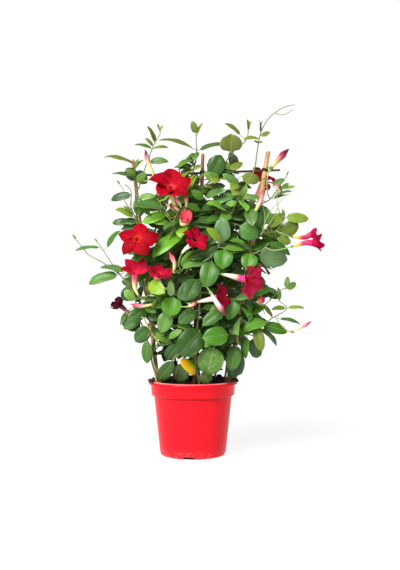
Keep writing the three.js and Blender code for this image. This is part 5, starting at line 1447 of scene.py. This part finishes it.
def cane_piece(name, straw):
    """A cane with a groove and a swelling at each joint, and a hollow top."""
    luck, draft, angle = Random(name), Draft(), around(RING)
    top = CANES[name][1][1]
    joints = [mix(SOIL_TOP, top, (i - 0.35) / CANE_JOINTS) for i in range(1, CANE_JOINTS + 1)]
    close = (joint + gap for joint in joints for gap in (-5, -3, -1.5, -0.6, 0, 0.6, 1.5, 3, 5))
    heights = np.array([h for h in sorted({*np.arange(CANE_FOOT, top, 6.0), float(top), *close}) if h <= top])
    grid, tints = [], []
    for height in heights:
        centre, radius = cane_axis(name, height)
        gap = min((height - joint for joint in joints), key=abs)
        swell = 0.5 * math.exp(-((gap / 2.2) ** 2)) - 0.45 * math.exp(-(((gap + 1.4) / 0.7) ** 2))
        uneven = np.array([rough(*polar(a, 0.9), height * 0.02) for a in angle]) * 0.3
        reach = radius - 0.1 + swell + uneven
        grid.append(np.stack((np.cos(angle) * reach, np.sin(angle) * reach, 0 * angle), axis=-1) + centre)
        shade = 1 - 0.55 * math.exp(-((gap + 1.4) ** 2) / 1.2)
        tints.append(straw * shade * (0.9 + 0.16 * rough(0, 0, height * 0.03)))
    grid[-1][:, 2] -= np.array([luck.uniform(0, 1.6) for a in angle])
    middle, bore = grid[-1].mean(axis=0), np.array((0, 0, BORE_DEPTH))
    # The cut end darkens into the bore, down to near black at its bottom: painted shade in the hollow.
    grid += [mix(middle, grid[-1], 0.62), mix(middle, grid[-1], 0.5) - bore]
    tints += [straw * 0.6, straw * 0.08]
    along = np.append(heights / 40, (0.5, 0.5))[:, None]
    across = across_round(RING) + 0 * along
    across[-2:] = 0.5
    first, last = (grid[0].mean(axis=0), 0.0, straw), (middle - bore, 0.5, straw * 0.05)
    draft.skin(np.array(grid), BAMBOO, along, np.array(tints)[:, None], first, last, across)
    draft.piece(f"{name}_bamboo", "bamboo", name)


def add_tie(draft, cane, x0, z0, slope, luck):
    """Turns of wire round a cane at a crossbar, and its spare end."""
    wire, height = srgb("342a22"), z0
    for i in range(4):
        height = z0 + (cane_axis(cane, height)[0][0] - x0) * slope
    centre, radius = cane_axis(cane, height)
    foot, top, _ = CANES[cane]
    up = unit(np.array((top[0] - foot[0], 0, top[1] - foot[1])))
    back = np.array((0, 1, 0))
    t = np.linspace(0, 1, TIE_TURNS * 22)
    angle = t * TIE_TURNS * FULL_TURN
    reach = radius + SEAT + 0.75 + 0.25 * np.sin(angle * 0.5 + luck.random() * 6)
    spots = centre + circle(angle, np.cross(up, back), back) * reach[:, None] + up * ((t - 0.5) * 5.2)[:, None]
    add_tube(draft, spots, WIRE_RADIUS, 6, TWINE, wire)
    spare = [centre + (x, -(radius + y), z) for x, y, z in ((0, 1.2, 0), (2.4, 2.6, 2), (5.5, 3, 4.5))]
    add_tube(draft, np.array(curve_through(spare, 1.2)), 0.6, 6, TWINE, wire)


for name, straw in zip(CANES, ("e2b276", "c8865c", "f0be7e")):
    cane_piece(name, srgb(straw))
for name, ((x0, z0), (x1, z1)) in BARS.items():
    luck, draft, count = Random(name), Draft(), 90
    start, end = np.array((x0, 0.0, z0)), np.array((x1, 0.0, z1))
    centres = start + (end - start) * np.linspace(0, 1, count)[:, None]
    radii = np.array([BAR_RADIUS * (0.95 + 0.12 * rough(i * 0.35, 0, x0)) for i in range(count)])
    add_tube(draft, centres, radii, 12, BAR_WOOD, srgb("60482e"))
    for cane in CANES:
        add_tie(draft, cane, x0, z0, (z1 - z0) / (x1 - x0), luck)
    draft.piece(f"{name}_rod", "crossbar", name)

# ---- floor, light and camera


def add_light(name, kind, location, direction, **settings):
    light = bpy.data.lights.new(name, kind)
    for key, value in settings.items():
        setattr(light, key, value)
    lamp = add_object(name, light)
    lamp.location = location
    lamp.rotation_euler = Vector(direction).to_track_quat("-Z", "Y").to_euler()


bpy.ops.mesh.primitive_plane_add(size=30)
floor = bpy.context.object
floor.name = "floor"
look = material("floor_white", 0.9, Base_Color=(0.14, 0.14, 0.14, 1), Emission_Color=(1, 1, 1, 1))
look.set(Emission_Strength=0.88)
floor.data.materials.append(look.owner)

# A white surround that gives less light than it shows, so that the sun's side stays the brighter.
sky = Look(bpy.data.worlds.new("studio"), "Background", Color=(1, 1, 1, 1))
sky.set(Strength=sky.math("MULTIPLY_ADD", sky.add("LightPath", {}, "Is Camera Ray"), 0.8, 0.22))
bpy.context.scene.world = sky.owner

add_light("window", "SUN", (0, 0, 0), (0.55, 1.0, -1.15), energy=3.5, angle=0.6)
softbox = dict(shape="RECTANGLE", size=0.4, size_y=1.1, energy=12)
add_light("softbox", "AREA", (-0.95, -1.1, 0.75), (0.95, 1.1, -0.5), **softbox)

lens = bpy.data.cameras.new("camera")
lens.sensor_fit, lens.sensor_width, lens.sensor_height, lens.lens = "VERTICAL", 36, 36, 54.3
camera = add_object("camera", lens)
camera.location = EYE * MM
camera.rotation_euler = (math.pi / 2, 0, 0)
bpy.context.scene.camera = camera
bpy.context.scene.view_settings.view_transform = "Standard"
